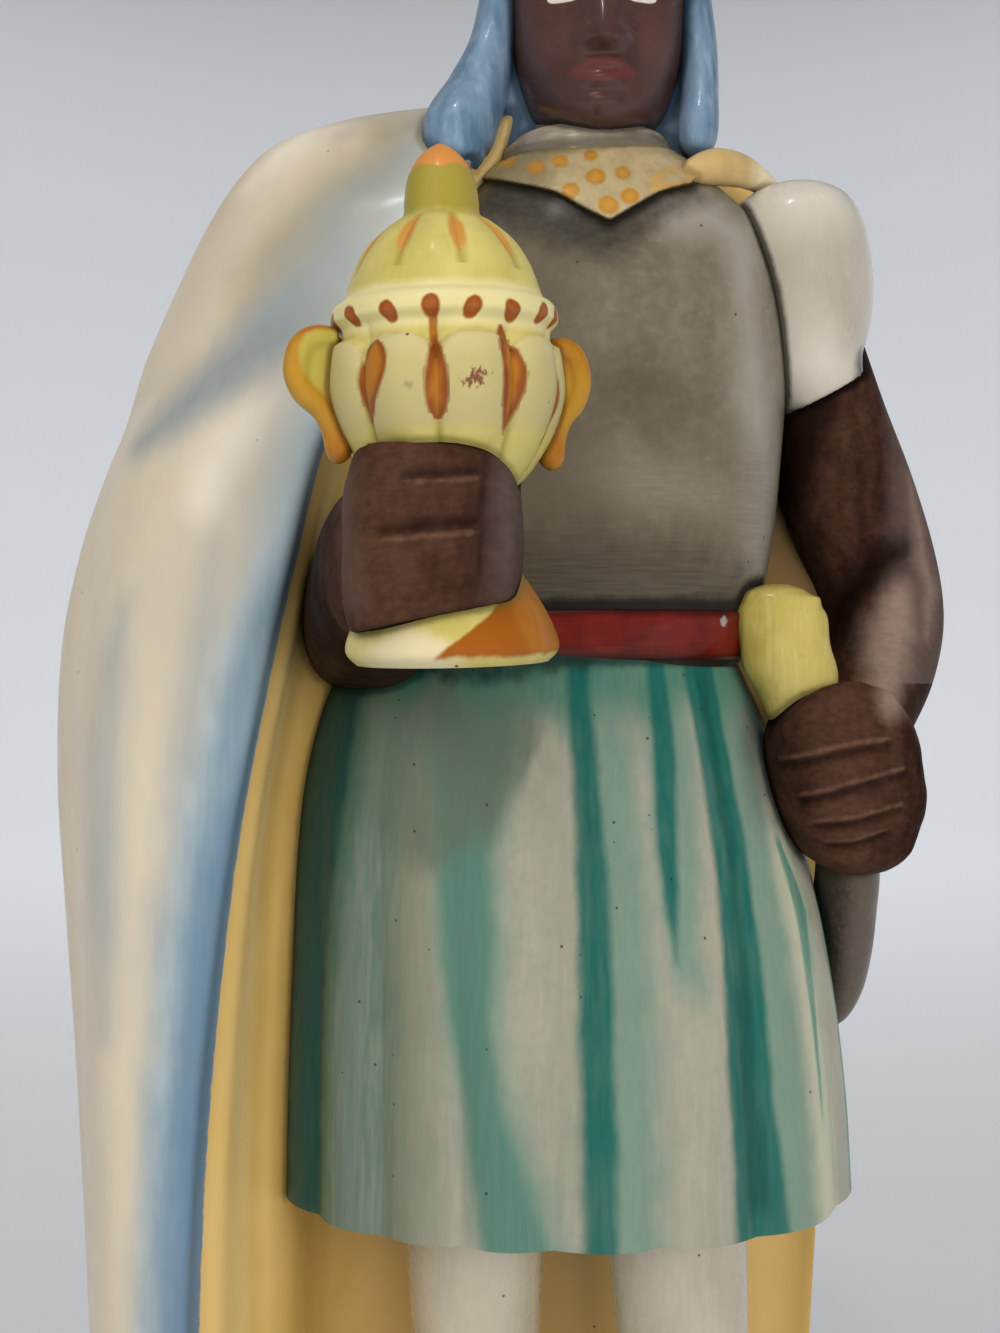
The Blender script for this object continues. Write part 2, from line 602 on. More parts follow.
def makeSkirt(glaze):
    points, angle, height = uprightGrid(skirt)
    # the hem turns under to a wall of the cloth's thickness, then a shallow hollow
    wall, lipRows = skirt["wall"], skirt["lipRows"]
    inner = np.array(skirt["levels"][0], float) + (0, wall, -wall, wall, -wall)
    deeper = inner + (skirt["hollow"], 0, 0, 0, 0)
    lip, _, _ = uprightGrid({**skirt, "levels": [inner, deeper], "rows": lipRows})
    points = np.concatenate([lip[::-1], points])
    angle = np.concatenate([angle[: lipRows + 1], angle])
    x, height = points[..., 0], points[..., 2]
    degrees = np.degrees(angle)
    scale = skirt["degree"]
    strokes = [strokeField(degrees, height, rows, scale) for rows in skirtStrokes]
    washes = [
        strokeField(degrees - shift, height, rows, scale) + wider
        for rows, (shift, wider) in zip(skirtStrokes[1:], skirt["washes"])
    ]
    front = np.abs(degrees) < 100
    washEnd = np.interp(degrees, *zip(*skirt["washEnds"]))
    yellowed = 3.0 - np.abs(degrees - 60) * 0.45 - np.maximum(0, height - 142) * 0.25
    leaning = degrees + 30 - (height - 100) * 0.06
    beltBand = height - 165.6 + 2.0 * np.sin(degrees * 0.3) + ramp(degrees, -18, 2) * 4 - 2
    gridPiece("skirt", points, {
        "turn": angle,
        "strokeB": strokes[1],
        "teal": np.max(strokes[2:5], 0),
        "tealLight": np.max(strokes[5:], 0),
        "wash": np.max(washes, 0),
        "yellowed": onlyOn(front & (degrees > 44), yellowed),
        "deep": np.maximum(strokes[2] - 2.4, strokes[4] - 2.6),
        "leftDeep": strokes[0],
        "leftEdge": strokes[0] + 3.6,
        "leftShade": np.minimum(degrees + 72, -29 - degrees) * 0.6 + ramp(height, 135, 160) * 2,
        "greyStreak": 2.4 - np.abs(degrees + 47) * 0.7 - np.maximum(0, height - 132) * 0.2,
        "olive": 3.6 - np.abs(leaning) * 0.6 - np.maximum(0, height - 135) * 0.1,
        "topShade": onlyOn(front, np.minimum(height - washEnd, -1 - degrees)),
        "beltBand": np.where(front, beltBand, height - 167),
        "underFoot": np.where(front, height - 168.2 - np.abs(x + 18) * 0.14, height - 171.8),
        "handShade": 5 - np.hypot((x - 27.5) * 0.9, (height - 160) * 0.45),
    })
    values = {"Pleats": float(skirt["pleats"]), "Depth": skirt["depth"] * mm, "Sway": skirt["sway"]}
    hem, waist = (skirt["levels"][row][0] * mm for row in (0, -1))
    values.update({"Start": skirt["start"], "Hem Height": hem, "Waist Height": waist, "Glaze": glaze})
    runTree(pieces["skirt"], pleatTree(), values).shade_smooth()


# Cloak: stations of height, side, edge x, edge y, back, far side, lining x, inner y
cloak = {
    "levels": [
        (5, -73, -56.6, -24, 35, 35, -47, 17), (30, -74.6, -57, -24.5, 35, 36, -47.5, 17.5),
        (60, -76.2, -57.2, -25, 35.5, 37.5, -48, 18), (86, -77.4, -56.8, -25, 36, 39, -48, 18),
        (110, -79, -55.4, -25, 35.5, 40, -47.8, 17), (134, -80.8, -52.8, -26, 34.5, 40.5, -47, 15),
        (153, -82, -49.8, -27, 33.5, 41, -45.6, 13), (172, -81.6, -45.9, -27.6, 32, 41.5, -41.8, 12),
        (186, -79.2, -42.6, -28, 31, 41.5, -39.2, 12), (200, -75, -39.2, -27.6, 30, 41, -36.6, 12),
        (213, -70.4, -34.2, -25.4, 28, 40, -31.4, 11), (226, -65.2, -28, -22, 26, 38.5, -25.2, 10),
        (238, -59.8, -21.6, -18, 23.5, 36, -18, 9), (246, -55, -17.8, -13.6, 21, 31.5, -14, 7),
        (251.5, -49.4, -16.4, -10, 18, 23.5, -12, 5), (255, -40.5, -15, -7, 15, 14.5, -10, 3),
        (257, -31, -13.5, -4, 11.5, 8, -8, 2),
    ],
    "rows": 230, "columns": 380, "folds": 6, "foldDepth": 2.2, "liningDepth": 0.9,
    # corner positions at which the lining begins and ends
    "border": 12.1,
    "farBorder": 0.15,
}
# cream glaze over clay, blue breathed into the folds and along the front edge, ochre lining: soft broad shine
cloakPaint = {
    "base": "#d9ccb5", "wash": "#c9c0ae", "washSize": 24, "washShare": 0.8, "streak": "#d6cab4",
    "streakShare": 0.3, "brush": (1, 1, 14), "bristle": 1.6,
    "layers": [
        layer("peach", "#cbb998", 6, 3, 12, 0.7),
        layer("topLight", "#eee5d9", 4, 2, 8, 0.8),
        layer("neckShade", "#8f8570", 6, 2.5, 7, 0.85),
        layer("shoulderShade", "#a09580", 4, 2, 8, 0.8),
        layer("crest", "#efe6d7", 4, 2, 8, 0.8),
        layer("upperWash", "#8f9694", 4.0, 2.5, 7, 0.85),
        layer("cool", "#9fa7a9", 3.6, 2.2, 9, 0.8, 0.15),
        layer("valley", "#909ba1", 3.6, 1.8, 7, 0.95, 0.1),
        layer("haze", "#b0b4b1", 5, 3, 9, 0.6),
        layer("paleBand", "#b8cdd9", 3.6, 1.8, 4, 0.9),
        layer("band", "#7e95a4", 3.6, 1.8, 4, 0.97, 0.1),
        layer("bandDeep", "#5f7d97", 2.4, 1.2, 3, 0.85, 0.15),
        layer("hemline", "#7e8c98", 0.3, 0.75, 0.8, 0.45),
        layer("lining", "#e2be74", 0.3, 0.5, 1.4),
        layer("ridge", "#eed496", 1.6, 0.8, 5, 0.7),
        layer("groove", "#c09a50", 1.4, 0.6, 4, 0.7),
        layer("underArm", "#7d5f38", 2.5, 1.0, 3, 0.95),
    ],
    "crease": ("#6f6037", 1.0, 0.5), "specks": 0.04, "mottle": 0.12, "roughness": (0.3, 0.42),
    "gloss": 0.35, "coat": 0.2, "coatRoughness": 0.16, "ripple": 0.1, "ridges": 0.02,
}
cloakStrokes = {
    "valley": [
        (-65.5, 202.6, 1.5), (-58.1, 207.8, 3.4), (-51, 213.9, 4.6), (-43.9, 219.5, 4.8),
        (-38.2, 224.4, 4.6), (-34.5, 229, 3.6),
    ],
    "upperWash": [
        (-47, 220, 2.6), (-41.5, 226.5, 4.4), (-36.5, 233, 5.4), (-32, 238.5, 5.4), (-27, 243.2, 4.8),
        (-23, 246.4, 3.8),
    ],
    "shoulderShade": [
        (-51, 220, 2.4), (-48, 226, 4), (-43, 234, 4.6), (-37, 240, 4.8), (-31, 245, 4.4),
        (-26, 248, 4),
    ],
    "topLight": [(-52, 243, 1), (-48, 248, 2.4), (-43, 251.6, 3), (-37, 253.4, 2)],
    "crest": [(-55, 194, 2.4), (-51, 202, 3.8), (-45, 207, 3.2)],
    "leftFold": [
        (-66.4, 180, 0.4), (-68.3, 171.6, 2.2), (-68.9, 157.2, 2.6), (-69.7, 140, 2.2), (-70, 118, 0.8),
    ],
    "innerFold": [
        (-53.4, 190, 0.2), (-55.6, 171.5, 1.8), (-57.7, 157.5, 2.3), (-60.4, 137.8, 2.4),
        (-62.4, 112.5, 2.2), (-63.6, 60, 1.6),
    ],
}


def cloakRelief(position, height):
    fullness = ramp(height, 250, 120) * ramp(position, 0, 1.5) * ramp(position, 7.6, 6)
    backFolds = np.cos(position / 7 * cloak["folds"] * math.pi)
    hanging = bump(position, 8.1, 0.55) * ramp(height, 205, 180) * ramp(height, 90, 140)
    slanting = bump(position, mix(7.7, 10.8, ramp(height, 203, 233)), 1.0) * bump(height, 218, 17)
    outer = cloak["foldDepth"] * (fullness * backFolds - 0.7 * hanging - 0.8 * slanting)
    within = ramp(position, 12, 12.6) * ramp(position, 15.6, 15)
    inner = cloak["liningDepth"] * within * ramp(height, 215, 170) * np.sin((position - 12) * 3.4)
    return np.where(position < 11, outer, inner)


# The cloak's section at each level: a closed smooth curve through its corners, with folds raised on it
def cloakGrid():
    levels = alongRows(cloak["levels"], np.linspace(0, 1, cloak["rows"] + 1))
    height, side, edgeX, edgeY, back, far, liningX, inner = levels.T
    front = edgeX - side
    corners = np.array([
        (far, back * 0.42),
        (far * 0.86, back * 0.8),
        (far * 0.45, back * 0.98),
        (side * 0.18, back),
        (side * 0.5, back * 0.94),
        (side * 0.78, back * 0.68),
        (side * 0.95, back * 0.32),
        (side, edgeY * 0.08),
        (side + front * 0.1, edgeY * 0.52),
        (side + front * 0.36, edgeY * 0.88),
        (side + front * 0.72, edgeY * 1.02),
        (edgeX - 1.4, edgeY * 1.03),
        (edgeX, edgeY + 2.2),
        (mix(edgeX, liningX, 0.5), edgeY * 0.62),
        (liningX + 1.5, -1 - 6 * ramp(height, 225, 195)),
        (liningX + 8, inner * 0.9),
        (0 * far, inner),
        (far - 7, inner * 0.95),
    ]).transpose(2, 0, 1)
    count = corners.shape[1]

    def curve(positions):
        index = positions.astype(int)
        t = (positions - index)[None, :, None]
        a, b, c, d = (corners[:, (index + step) % count] for step in (-1, 0, 1, 2))
        rise, bend, twist = c - a, 2 * a - 5 * b + 4 * c - d, 3 * b - a - 3 * c + d
        slope = rise + 2 * bend * t + 3 * twist * t**2
        point = 0.5 * (2 * b + rise * t + bend * t**2 + twist * t**3)
        return point, slope / np.linalg.norm(slope, axis=2, keepdims=True)

    # even steps round the section, measured at a middle level
    fine = np.linspace(0, count, 200 * count + 1)[:-1]
    trial, _ = curve(fine)
    middle = trial[len(trial) // 2]
    length = np.append(0, np.cumsum(np.linalg.norm(np.roll(middle, -1, 0) - middle, axis=1)))
    even = np.linspace(0, length[-1], cloak["columns"], endpoint=False)
    positions = np.interp(even, length, np.append(fine, count))
    point, slope = curve(positions)
    position = positions[None] + 0 * height[:, None]
    level = height[:, None] + 0 * position
    lift = cloakRelief(position, level)
    x = point[..., 0] + slope[..., 1] * lift
    y = point[..., 1] - slope[..., 0] * lift
    return np.stack([x, y, level], -1), position, level


def makeCloak():
    points, position, height = cloakGrid()
    step = np.linalg.norm(np.roll(points, -1, 1) - points, axis=2)
    run = np.cumsum(step, 1) - step
    around = run[:, -1:] + step[:, -1:]

    def runTo(corner):
        return np.array([np.interp(corner, position[0], row) for row in run])[:, None]

    fromEdge = run - runTo(cloak["border"])
    pastFar = runTo(cloak["farBorder"])
    outer = position < cloak["border"]
    front = outer & (position > 7)
    x = points[..., 0]
    painted = {name: onlyOn(front, frontStroke(x, height, path)) for name, path in cloakStrokes.items()}
    grooves = np.maximum(1.2 - np.abs(position - 13.45) * 5, 2.6 - np.abs(position - 14.3) * 4)
    painted.update({
        "lining": np.where(position > 9, np.minimum(fromEdge, around + pastFar - run), pastFar - run),
        "paleBand": onlyOn(outer, fromEdge + mix(9, 7, ramp(height, 170, 200))),
        "band": onlyOn(outer, fromEdge + mix(9.5, 2.5, ramp(height, 165, 197))),
        "bandDeep": onlyOn(outer, fromEdge + mix(6.5, -0.5, ramp(height, 140, 176))),
        "hemline": onlyOn(outer, 0.6 + fromEdge),
        "peach": onlyOn(outer, 3 - np.abs(position - 7.2) * 7 + ramp(height, 235, 250) * 4),
        "neckShade": onlyOn(outer, 5 - np.hypot((x + 28) * 0.55, (height - 250) * 0.9)),
        "underArm": onlyOn((position > 14) & (x > 14), 9 - np.abs(height - 188) * 0.5),
        "cool": np.maximum(painted.pop("leftFold"), painted.pop("innerFold")),
        "haze": onlyOn(outer, fromEdge + 13 - ramp(height, 190, 140) * 3),
        "ridge": 1.8 - np.abs(position - 13.0) * 5,
        "groove": grooves - ramp(height, 190, 215) * 6,
    })
    gridPiece("cloak", points, painted)


# Sleeve of the left shoulder, puffed over the arm
sleeve = {
    "stations": [
        (29.9, -0.6, 244.6, 4.6, 5.4), (30.2, -0.6, 242.8, 8.8, 9.8), (31.2, -0.2, 238, 11.3, 12.4),
        (32.4, 0.8, 231, 11.8, 12.8), (32.9, 1.6, 224, 11.3, 12), (34.1, 2.2, 218.2, 9.7, 10.8),
        (36.5, 2.8, 213.6, 7.9, 9.6),
    ],
    "rows": 110, "columns": 130, "voxel": 0.5,
}
# plain white glaze pooled thick: mirror-smooth, greyer where it runs thin
sleevePaint = {
    "base": "#b3ab9c", "wash": "#a69d8d", "washSize": 16, "streak": "#c1baac", "streakShare": 0.25,
    "layers": [layer("lightSide", "#d6d1c7", 5, 2, 9, 0.8)], "crease": ("#2b2620", 1.0, 0.9),
    "specks": 0.06, "roughness": (0.18, 0.28), "coat": 0.7, "coatRoughness": 0.05, "ripple": 0.1,
    "ridges": 0.01,
}

# Left arm and fist, right forearm and fist: stations of x, y, z, half width, half depth
leftArm = {
    "stations": [
        (34, 2.6, 222, 8.6, 9.2), (37.8, 5, 210, 9.6, 9.6), (42.4, 8.6, 198, 10.6, 10),
        (47.2, 12, 187, 10.2, 10), (48.8, 11.6, 178.4, 9.7, 9.6), (46.4, 6, 170.6, 9.1, 9),
        (43, -1, 164.8, 8, 8), (39.6, -7, 160.6, 7.6, 7.6),
    ],
    "rows": 160, "columns": 110,
}
rightForearm = {
    "stations": [
        (-35.4, 2, 175.4, 9.4, 8.8), (-33.4, -16, 177.4, 9.4, 9.8), (-31, -31, 179.8, 9.2, 10.8),
        (-28.4, -44, 183, 9, 10.8), (-25, -54, 184.8, 8.4, 10.4),
    ],
    "squareness": 2.5, "rows": 90, "columns": 90,
}
rightFist = {
    "stations": [
        (-21.6, -60.2, 194.0, 6.2, 8.4), (-21.6, -60.3, 193.4, 8.6, 10.8), (-21.7, -60.5, 191.9, 9.9, 12.1),
        (-21.8, -60.5, 189, 10.3, 12.1), (-21.8, -60.3, 185.4, 10.5, 11.8), (-21.8, -60.1, 181, 10.4, 11.6),
        (-21.8, -60, 178.4, 10.1, 11.3), (-21.8, -59.9, 176.6, 9.3, 10.4), (-21.8, -59.9, 175.9, 7.2, 8.4),
    ],
    "squareness": 3.4, "rows": 120, "columns": 150,
}
leftFist = {
    "stations": [
        (34.6, -10, 166.8, 5, 4.6), (35, -10.2, 165, 8.4, 7.8), (36, -10.4, 161, 10.4, 9.4),
        (37.2, -10.4, 156, 11, 10), (38.2, -10, 151, 10.8, 9.8), (38.8, -9.4, 146.6, 9.6, 9),
        (39, -8.8, 143, 7.6, 7.6), (39, -8.4, 140.6, 4.6, 4.8),
    ],
    "side": (0.94, 0.3, 0), "squareness": 2.8, "rows": 120, "columns": 150,
}
rightThumb = {
    "stations": [
        (-14.6, -50.5, 190.5, 3, 3), (-14.8, -55, 193.6, 3, 3.2), (-15.6, -59.5, 195.2, 2.8, 2.6),
        (-17.2, -63.4, 195.4, 2.3, 2), (-18.8, -65.4, 194.6, 1, 1),
    ],
    "side": (0, 0, 1), "rows": 40, "columns": 40,
}
leftThumb = {
    "stations": [
        (42, -11, 162.2, 3.6, 3.4), (38.6, -15.2, 164.6, 3.8, 3.4), (34.2, -17.4, 164.4, 3.6, 3.2),
        (30.2, -17, 162.4, 3, 2.8), (27.6, -15.6, 160.4, 1.4, 1.4),
    ],
    "side": (0, 0, 1), "rows": 40, "columns": 40,
}
hands = {"groove": 0.035, "voxel": 0.42}
# brown-black body paint with reddish strokes, satin with a faint bloom
skinPaint = {
    "base": "#34211a", "wash": "#261812", "washSize": 6, "washShare": 0.9, "streak": "#4c3228",
    "streakShare": 0.45, "brush": (2, 2, 1), "bristle": 0.7, "mottle": 0.6, "mottleSize": 2.2,
    "layers": [
        layer("bloom", "#64554f", 2.5, 1.6, 4, 0.8, 0.2),
        layer("worn", "#694a3a", 1.8, 2.4, 3, 0.5, 0.45, brush=(1.5, 1.5, 1)),
        layer("dark", "#1a0f0b", 3.0, 2, 5, 0.9),
        layer("sheen", "#a28a7e", 2.6, 1.2, 5, 0.75, 0.2),
        layer("light", "#80604f", 0.4, 0.4, 1.2, 0.6, 0.3, brush=(6, 6, 0.5)),
        layer("furrow", "#170d0a", 0.9, 0.4, 1.6, 0.8),
    ],
    "crease": ("#120a09", 1.2, 0.9), "specks": 0.1, "roughness": (0.42, 0.58), "gloss": 0.015,
    "coat": 0.0, "coatRoughness": 0.2, "ripple": 0.12, "ridges": 0.07,
}
# lines pressed into the hands and the bend of the arm, seen from the front
handLines = {
    "right": [
        [(-24.5, 191.6, 0.1), (-20, 191.8, 0.35), (-16.6, 192.1, 0.25)],
        [(-27, 185.4, 0.2), (-21.6, 185.9, 0.35), (-16.5, 186.3, 0.3)],
        [(-15.4, 193.6, -0.2), (-16.1, 188, 0.2), (-16.3, 180.6, -0.1)],
    ],
    "left": [
        [(42, 159.2, 0.2), (38, 158.8, 0.4), (34.2, 158.1, 0.4), (27.2, 156.2, 0.3)],
        [(44.3, 154.9, 0.2), (37, 153.1, 0.45), (29.4, 151, 0.35)],
        [(43.9, 149.7, 0.2), (37, 148, 0.45), (31.3, 147.2, 0.3)],
        [(41.6, 146, 0.2), (37, 144.5, 0.35), (33.3, 144.3, 0.3)],
    ],
    "crook": [
        [
            (51, 187.8, 0.3), (47.4, 186.4, 0.5), (43.9, 185.0, 0.6), (40, 180.9, 0.7), (38, 177, 0.6),
            (37.6, 171.6, 0.5), (38.4, 166.5, 0.5),
        ],
    ],
    "bend": [(52, 190.4, 1.4), (46, 187.6, 2.6), (42, 182, 3.0), (39.2, 176, 2)],
    "sheen": [(49.4, 182, 1.8), (47, 176.5, 3.2), (45.2, 171, 3.4), (43.4, 166, 2.4)],
    "upperSheen": [(50.6, 201, 0.6), (52.6, 192, 1.8), (54.6, 183, 1.8), (53.4, 176, 1.0)],
    "bloom": [
        [(-13.2, 193, 1.5), (-13.0, 186, 2.0), (-13.6, 178, 1.6)],
        [(-31, 192, 0.9), (-31, 186, 1.2), (-30.4, 178, 1.0)],
    ],
}


# Three grooves between four fingers, on the side that faces the viewer
def fingerRelief(angle, share):
    facing = np.maximum(0, np.cos(angle - math.pi / 2))
    grooves = bump(np.abs(np.cos(share * 4 * math.pi)), 1, 0.3)
    between = grooves * ramp(share, 0.12, 0.2) * ramp(share, 0.88, 0.8)
    return -hands["groove"] * between * facing**0.7


def makeHands():
    knuckles = limbGrid(rightFist, fingerRelief)
    x, z = knuckles[..., 0], knuckles[..., 2]
    z += 0.2 * (x + 21.8) * ramp(z, 187, 178)
    z -= 0.13 * np.maximum(0, x + 19) * ramp(z, 188, 194)
    right = fusedPiece("rightHand", [limbGrid(rightForearm), knuckles, limbGrid(rightThumb)], hands["voxel"])
    grids = [limbGrid(leftArm), limbGrid(leftFist, fingerRelief), limbGrid(leftThumb)]
    left = fusedPiece("leftArm", grids, hands["voxel"])
    furrow = engrave(right, handLines["right"], 0.4, -60)
    x, y, z = drawnPoints(right).T
    raised = [[(px, pz - 0.9, width * 0.7) for px, pz, width in line] for line in handLines["right"][:2]]
    setFields(right.data, {
        "furrow": furrow + 0.1,
        "light": onlyOn(y < -60, frontStrokes(x, z, raised)),
        "worn": np.where(y < -50, 2.6 - np.abs(x + 26) * 0.35, -2),
        "bloom": onlyOn(y < -50, frontStrokes(x, z, handLines["bloom"])),
        "dark": onlyOn(y > -47, 3 - np.abs(z - 186) * 0.3),
        "sheen": onlyOn(False, x),  # none on this hand, but the paint that both share reads it
    })
    bend = engrave(left, handLines["left"], 0.8, -8), engrave(left, handLines["crook"], 0.7, 30) - 1.2
    x, y, z = drawnPoints(left).T
    raised = [[(px, pz + 1.1, width * 0.8) for px, pz, width in line] for line in handLines["left"]]
    inBend = np.maximum(33.4 - x + (z - 196) * 0.28, frontStroke(x, z, handLines["bend"]))
    upper = frontStroke(x, z, handLines["upperSheen"]) - 1.2
    setFields(left.data, {
        "furrow": np.maximum(*bend) + 0.1,
        "light": onlyOn(y < -8, frontStrokes(x, z, raised)),
        "worn": np.where(y < -8, 2.2 - np.abs(x - 35) * 0.3, 0.6 - np.abs(x - 38) * 0.2),
        "bloom": onlyOn(z > 168, x - 47),
        "dark": onlyOn(z > 166, inBend),
        "sheen": onlyOn(y < 16, np.maximum(frontStroke(x, z, handLines["sheen"]), upper)),
    })


# Dagger: hilt and sheath
hilt = {
    "stations": [
        (38, -10, 150, 4.4, 4.4), (33.4, -9.8, 162, 5.6, 4.6), (31.2, -9.6, 166.4, 6, 5),
        (29.8, -9.4, 170.6, 6.4, 5), (28.6, -9.2, 174.8, 6.9, 5), (27.8, -9, 178, 7.2, 5),
        (27.5, -9, 180.6, 6.3, 4.6), (27.5, -9, 182.2, 4.4, 3.5), (27.5, -9, 183, 2, 1.7),
    ],
    "rows": 110, "columns": 90,
}
sheath = {
    "stations": [
        (38.6, -8, 148, 4.6, 4.4), (39.2, -5, 140, 4.9, 4.6), (39.8, 0, 132.6, 5, 4.7),
        (40.4, 5, 125.6, 4.9, 4.6), (40.6, 8.6, 119.6, 4.3, 4.2), (39.6, 10.6, 115, 3.4, 3.4),
        (38.2, 11.4, 112.6, 1.6, 1.8),
    ],
    "rows": 110, "columns": 90,
}
# yellow glaze meant as gilding: opaque, thick, slightly cloudy
hiltPaint = {
    "base": "#c3b362", "wash": "#ad9d46", "washSize": 6, "streak": "#d2c27c", "streakShare": 0.5,
    "crease": ("#6e6228", 0.9, 0.7), "specks": 0.08, "roughness": (0.26, 0.4), "coat": 0.3,
    "ripple": 0.14, "ridges": 0.03,
}
# grey-brown leather-coloured glaze, rubbed light along the outer curve
sheathPaint = {
    "base": "#3e3022", "wash": "#2b2219", "washSize": 7, "streak": "#665c4f", "streakShare": 0.45,
    "brush": (1, 1, 8),
    "layers": [
        layer("outerCurve", "#675d50", 1.6, 0.8, 3, 0.6),
        layer("innerCurve", "#231e19", 1.6, 0.8, 3, 0.8),
    ],
    "crease": ("#1d1814", 1.6, 0.85), "specks": 0.12, "roughness": (0.3, 0.45), "gloss": 0.3,
    "coat": 0.2, "ripple": 0.1,
}


def makeHilt():
    def swellings(angle, share):
        return 0.035 * np.sin(share * 26) * np.cos(angle) + 0.02 * np.sin(share * 17 + 1)

    gridPiece("hilt", limbGrid(hilt, swellings))


def makeSheath():
    points = limbGrid(sheath)
    fromMiddle = points - points.mean(1, keepdims=True)
    across = fromMiddle[..., 0] - fromMiddle[..., 1] * 0.3
    gridPiece("sheath", points, {"outerCurve": across - 0.8, "innerCurve": -1.8 - across})


def makeSleeve():
    piece = fusedPiece("sleeve", [limbGrid(sleeve)], sleeve["voxel"])
    x, _, z = drawnPoints(piece).T
    setFields(piece.data, {"lightSide": np.max([x - 41, (z - 237) * 0.8, 2.2 - np.abs(z - 216.5) * 0.6], 0)})


# Collar: a spotted cloth with a short point, cut from the chest grown by its thickness
collar = {
    "outline": [
        (-17.5, 244.5), (-12, 241.6), (-6, 239.4), (-2, 236.6), (1.6, 234.6), (5.2, 237), (9, 239.6),
        (14, 241.8), (17.5, 246), (17.5, 254), (-19, 254),
    ],
    "thickness": 1.1, "voxel": 0.34, "passes": 5,
    # x, height and radius of each painted spot
    "spots": [
        (-8.8, 244.1, 1.35), (-5.3, 244.9, 1.2), (-0.7, 245.9, 1.0), (-0.2, 241.8, 1.45),
        (3.8, 242.5, 1.15), (-3.9, 239.4, 1.3), (1.4, 236.9, 1.45), (4.6, 238.4, 1.3),
        (-13.0, 246.2, 1.2),
    ],
    # x, height and radius of the painted loop
    "loop": (11.4, 242.2, 1.7),
}
# cream glaze with spots of iron yellow, each spot darker round its own rim
collarPaint = {
    "base": "#bba980", "wash": "#a8966d", "washSize": 5, "streak": "#c9b88f", "streakShare": 0.3,
    "layers": [
        layer("shaded", "#7f7252", 3, 1.5, strength=0.7),
        layer("loop", "#c29a52", 0.5, 0.3, strength=0.8),
        layer("spots", "#c08a26", 0.25, 0.3, 1.2, 0.92),
        layer("spotHearts", "#a06a18", 0.5, 0.4, 1.0, 0.5),
    ],
    "crease": ("#453b26", 0.8, 0.7), "roughness": (0.24, 0.38), "coat": 0.3, "ripple": 0.1,
}


def makeCollar():
    grown, _, _ = uprightGrid(tunic, lambda angle, height: collar["thickness"])
    piece = newPiece("collar", *closedFaces(grown))
    outline = np.array(collar["outline"], float)
    count = len(outline)
    near = np.column_stack([outline[:, 0], np.full(count, -40.0), outline[:, 1]])
    ring = list(range(count))
    sides = [[k, (k + 1) % count, (k + 1) % count + count, k + count] for k in ring]
    ends = [ring[::-1], [k + count for k in ring]]
    cut = piece.modifiers.new("outline", "BOOLEAN")
    cut.operation = "INTERSECT"
    cut.solver = "EXACT"
    cut.object = newPiece("collarCutter", np.concatenate([near, near + (0, 40, 0)]), ends + sides)
    plainMesh(piece)
    bpy.data.objects.remove(pieces.pop("collarCutter"))
    softened(piece, collar["voxel"], collar["passes"])
    x, _, z = drawnPoints(piece).T
    spots = np.max([radius - np.hypot(x - spotX, z - spotZ) for spotX, spotZ, radius in collar["spots"]], 0)
    loopX, loopZ, loopRadius = collar["loop"]
    loop = 0.75 - np.abs(np.hypot((x - loopX) * 0.62, z - loopZ - 0.35 * (x - loopX)) - loopRadius)
    hearts = 0.2 - np.abs(spots - 0.25)
    setFields(piece.data, {"spots": spots, "spotHearts": hearts, "loop": loop, "shaded": -6 - x})


# Lapel: the cloak's ochre collar lying over the right shoulder, stations of x, y, z, half height, half depth
lapel = {
    "stations": [
        (12.4, -12.6, 242.8, 1.0, 1.0), (15, -11.8, 244.4, 2.2, 1.6), (18.6, -9.8, 245.7, 2.8, 1.9),
        (23, -6.4, 246.1, 2.5, 1.9), (27, -3, 245.2, 1.7, 1.6), (29.4, -1, 244.4, 0.8, 0.9),
    ],
    "side": (0, 0, 1), "rows": 90, "columns": 60, "voxel": 0.4,
}
lapelPaint = {
    "base": "#c6a972", "wash": "#b3945a", "washSize": 5, "streak": "#d3b988", "streakShare": 0.4,
    "brush": (6, 6, 0.8), "layers": [layer("paleEnd", "#e2d9bd", 2, 1, strength=0.8)],
    "crease": ("#6f5a34", 0.9, 0.6), "roughness": (0.28, 0.4), "coat": 0.3, "ripple": 0.12,
}


def makeLapel():
    piece = fusedPiece("lapel", [limbGrid(lapel)], lapel["voxel"])
    setFields(piece.data, {"paleEnd": drawnPoints(piece)[:, 0] - 24.5})


# Neck cloth, head cloth, turban, head: stations of height, left, right, front, back
neck = {
    "levels": [
        (241, -15, 14.5, -12, 12), (244.6, -16.2, 14.6, -13.6, 12.5), (247.4, -14.8, 13.8, -12.8, 12),
        (249.6, -14.4, 13.6, -12.8, 12), (252, -12, 12, -10.8, 11), (254, -9.4, 9.8, -8.4, 10),
        (262, -9.2, 9.4, -7.4, 10),
    ],
    "squareness": 2.2, "rows": 80, "columns": 220,
}
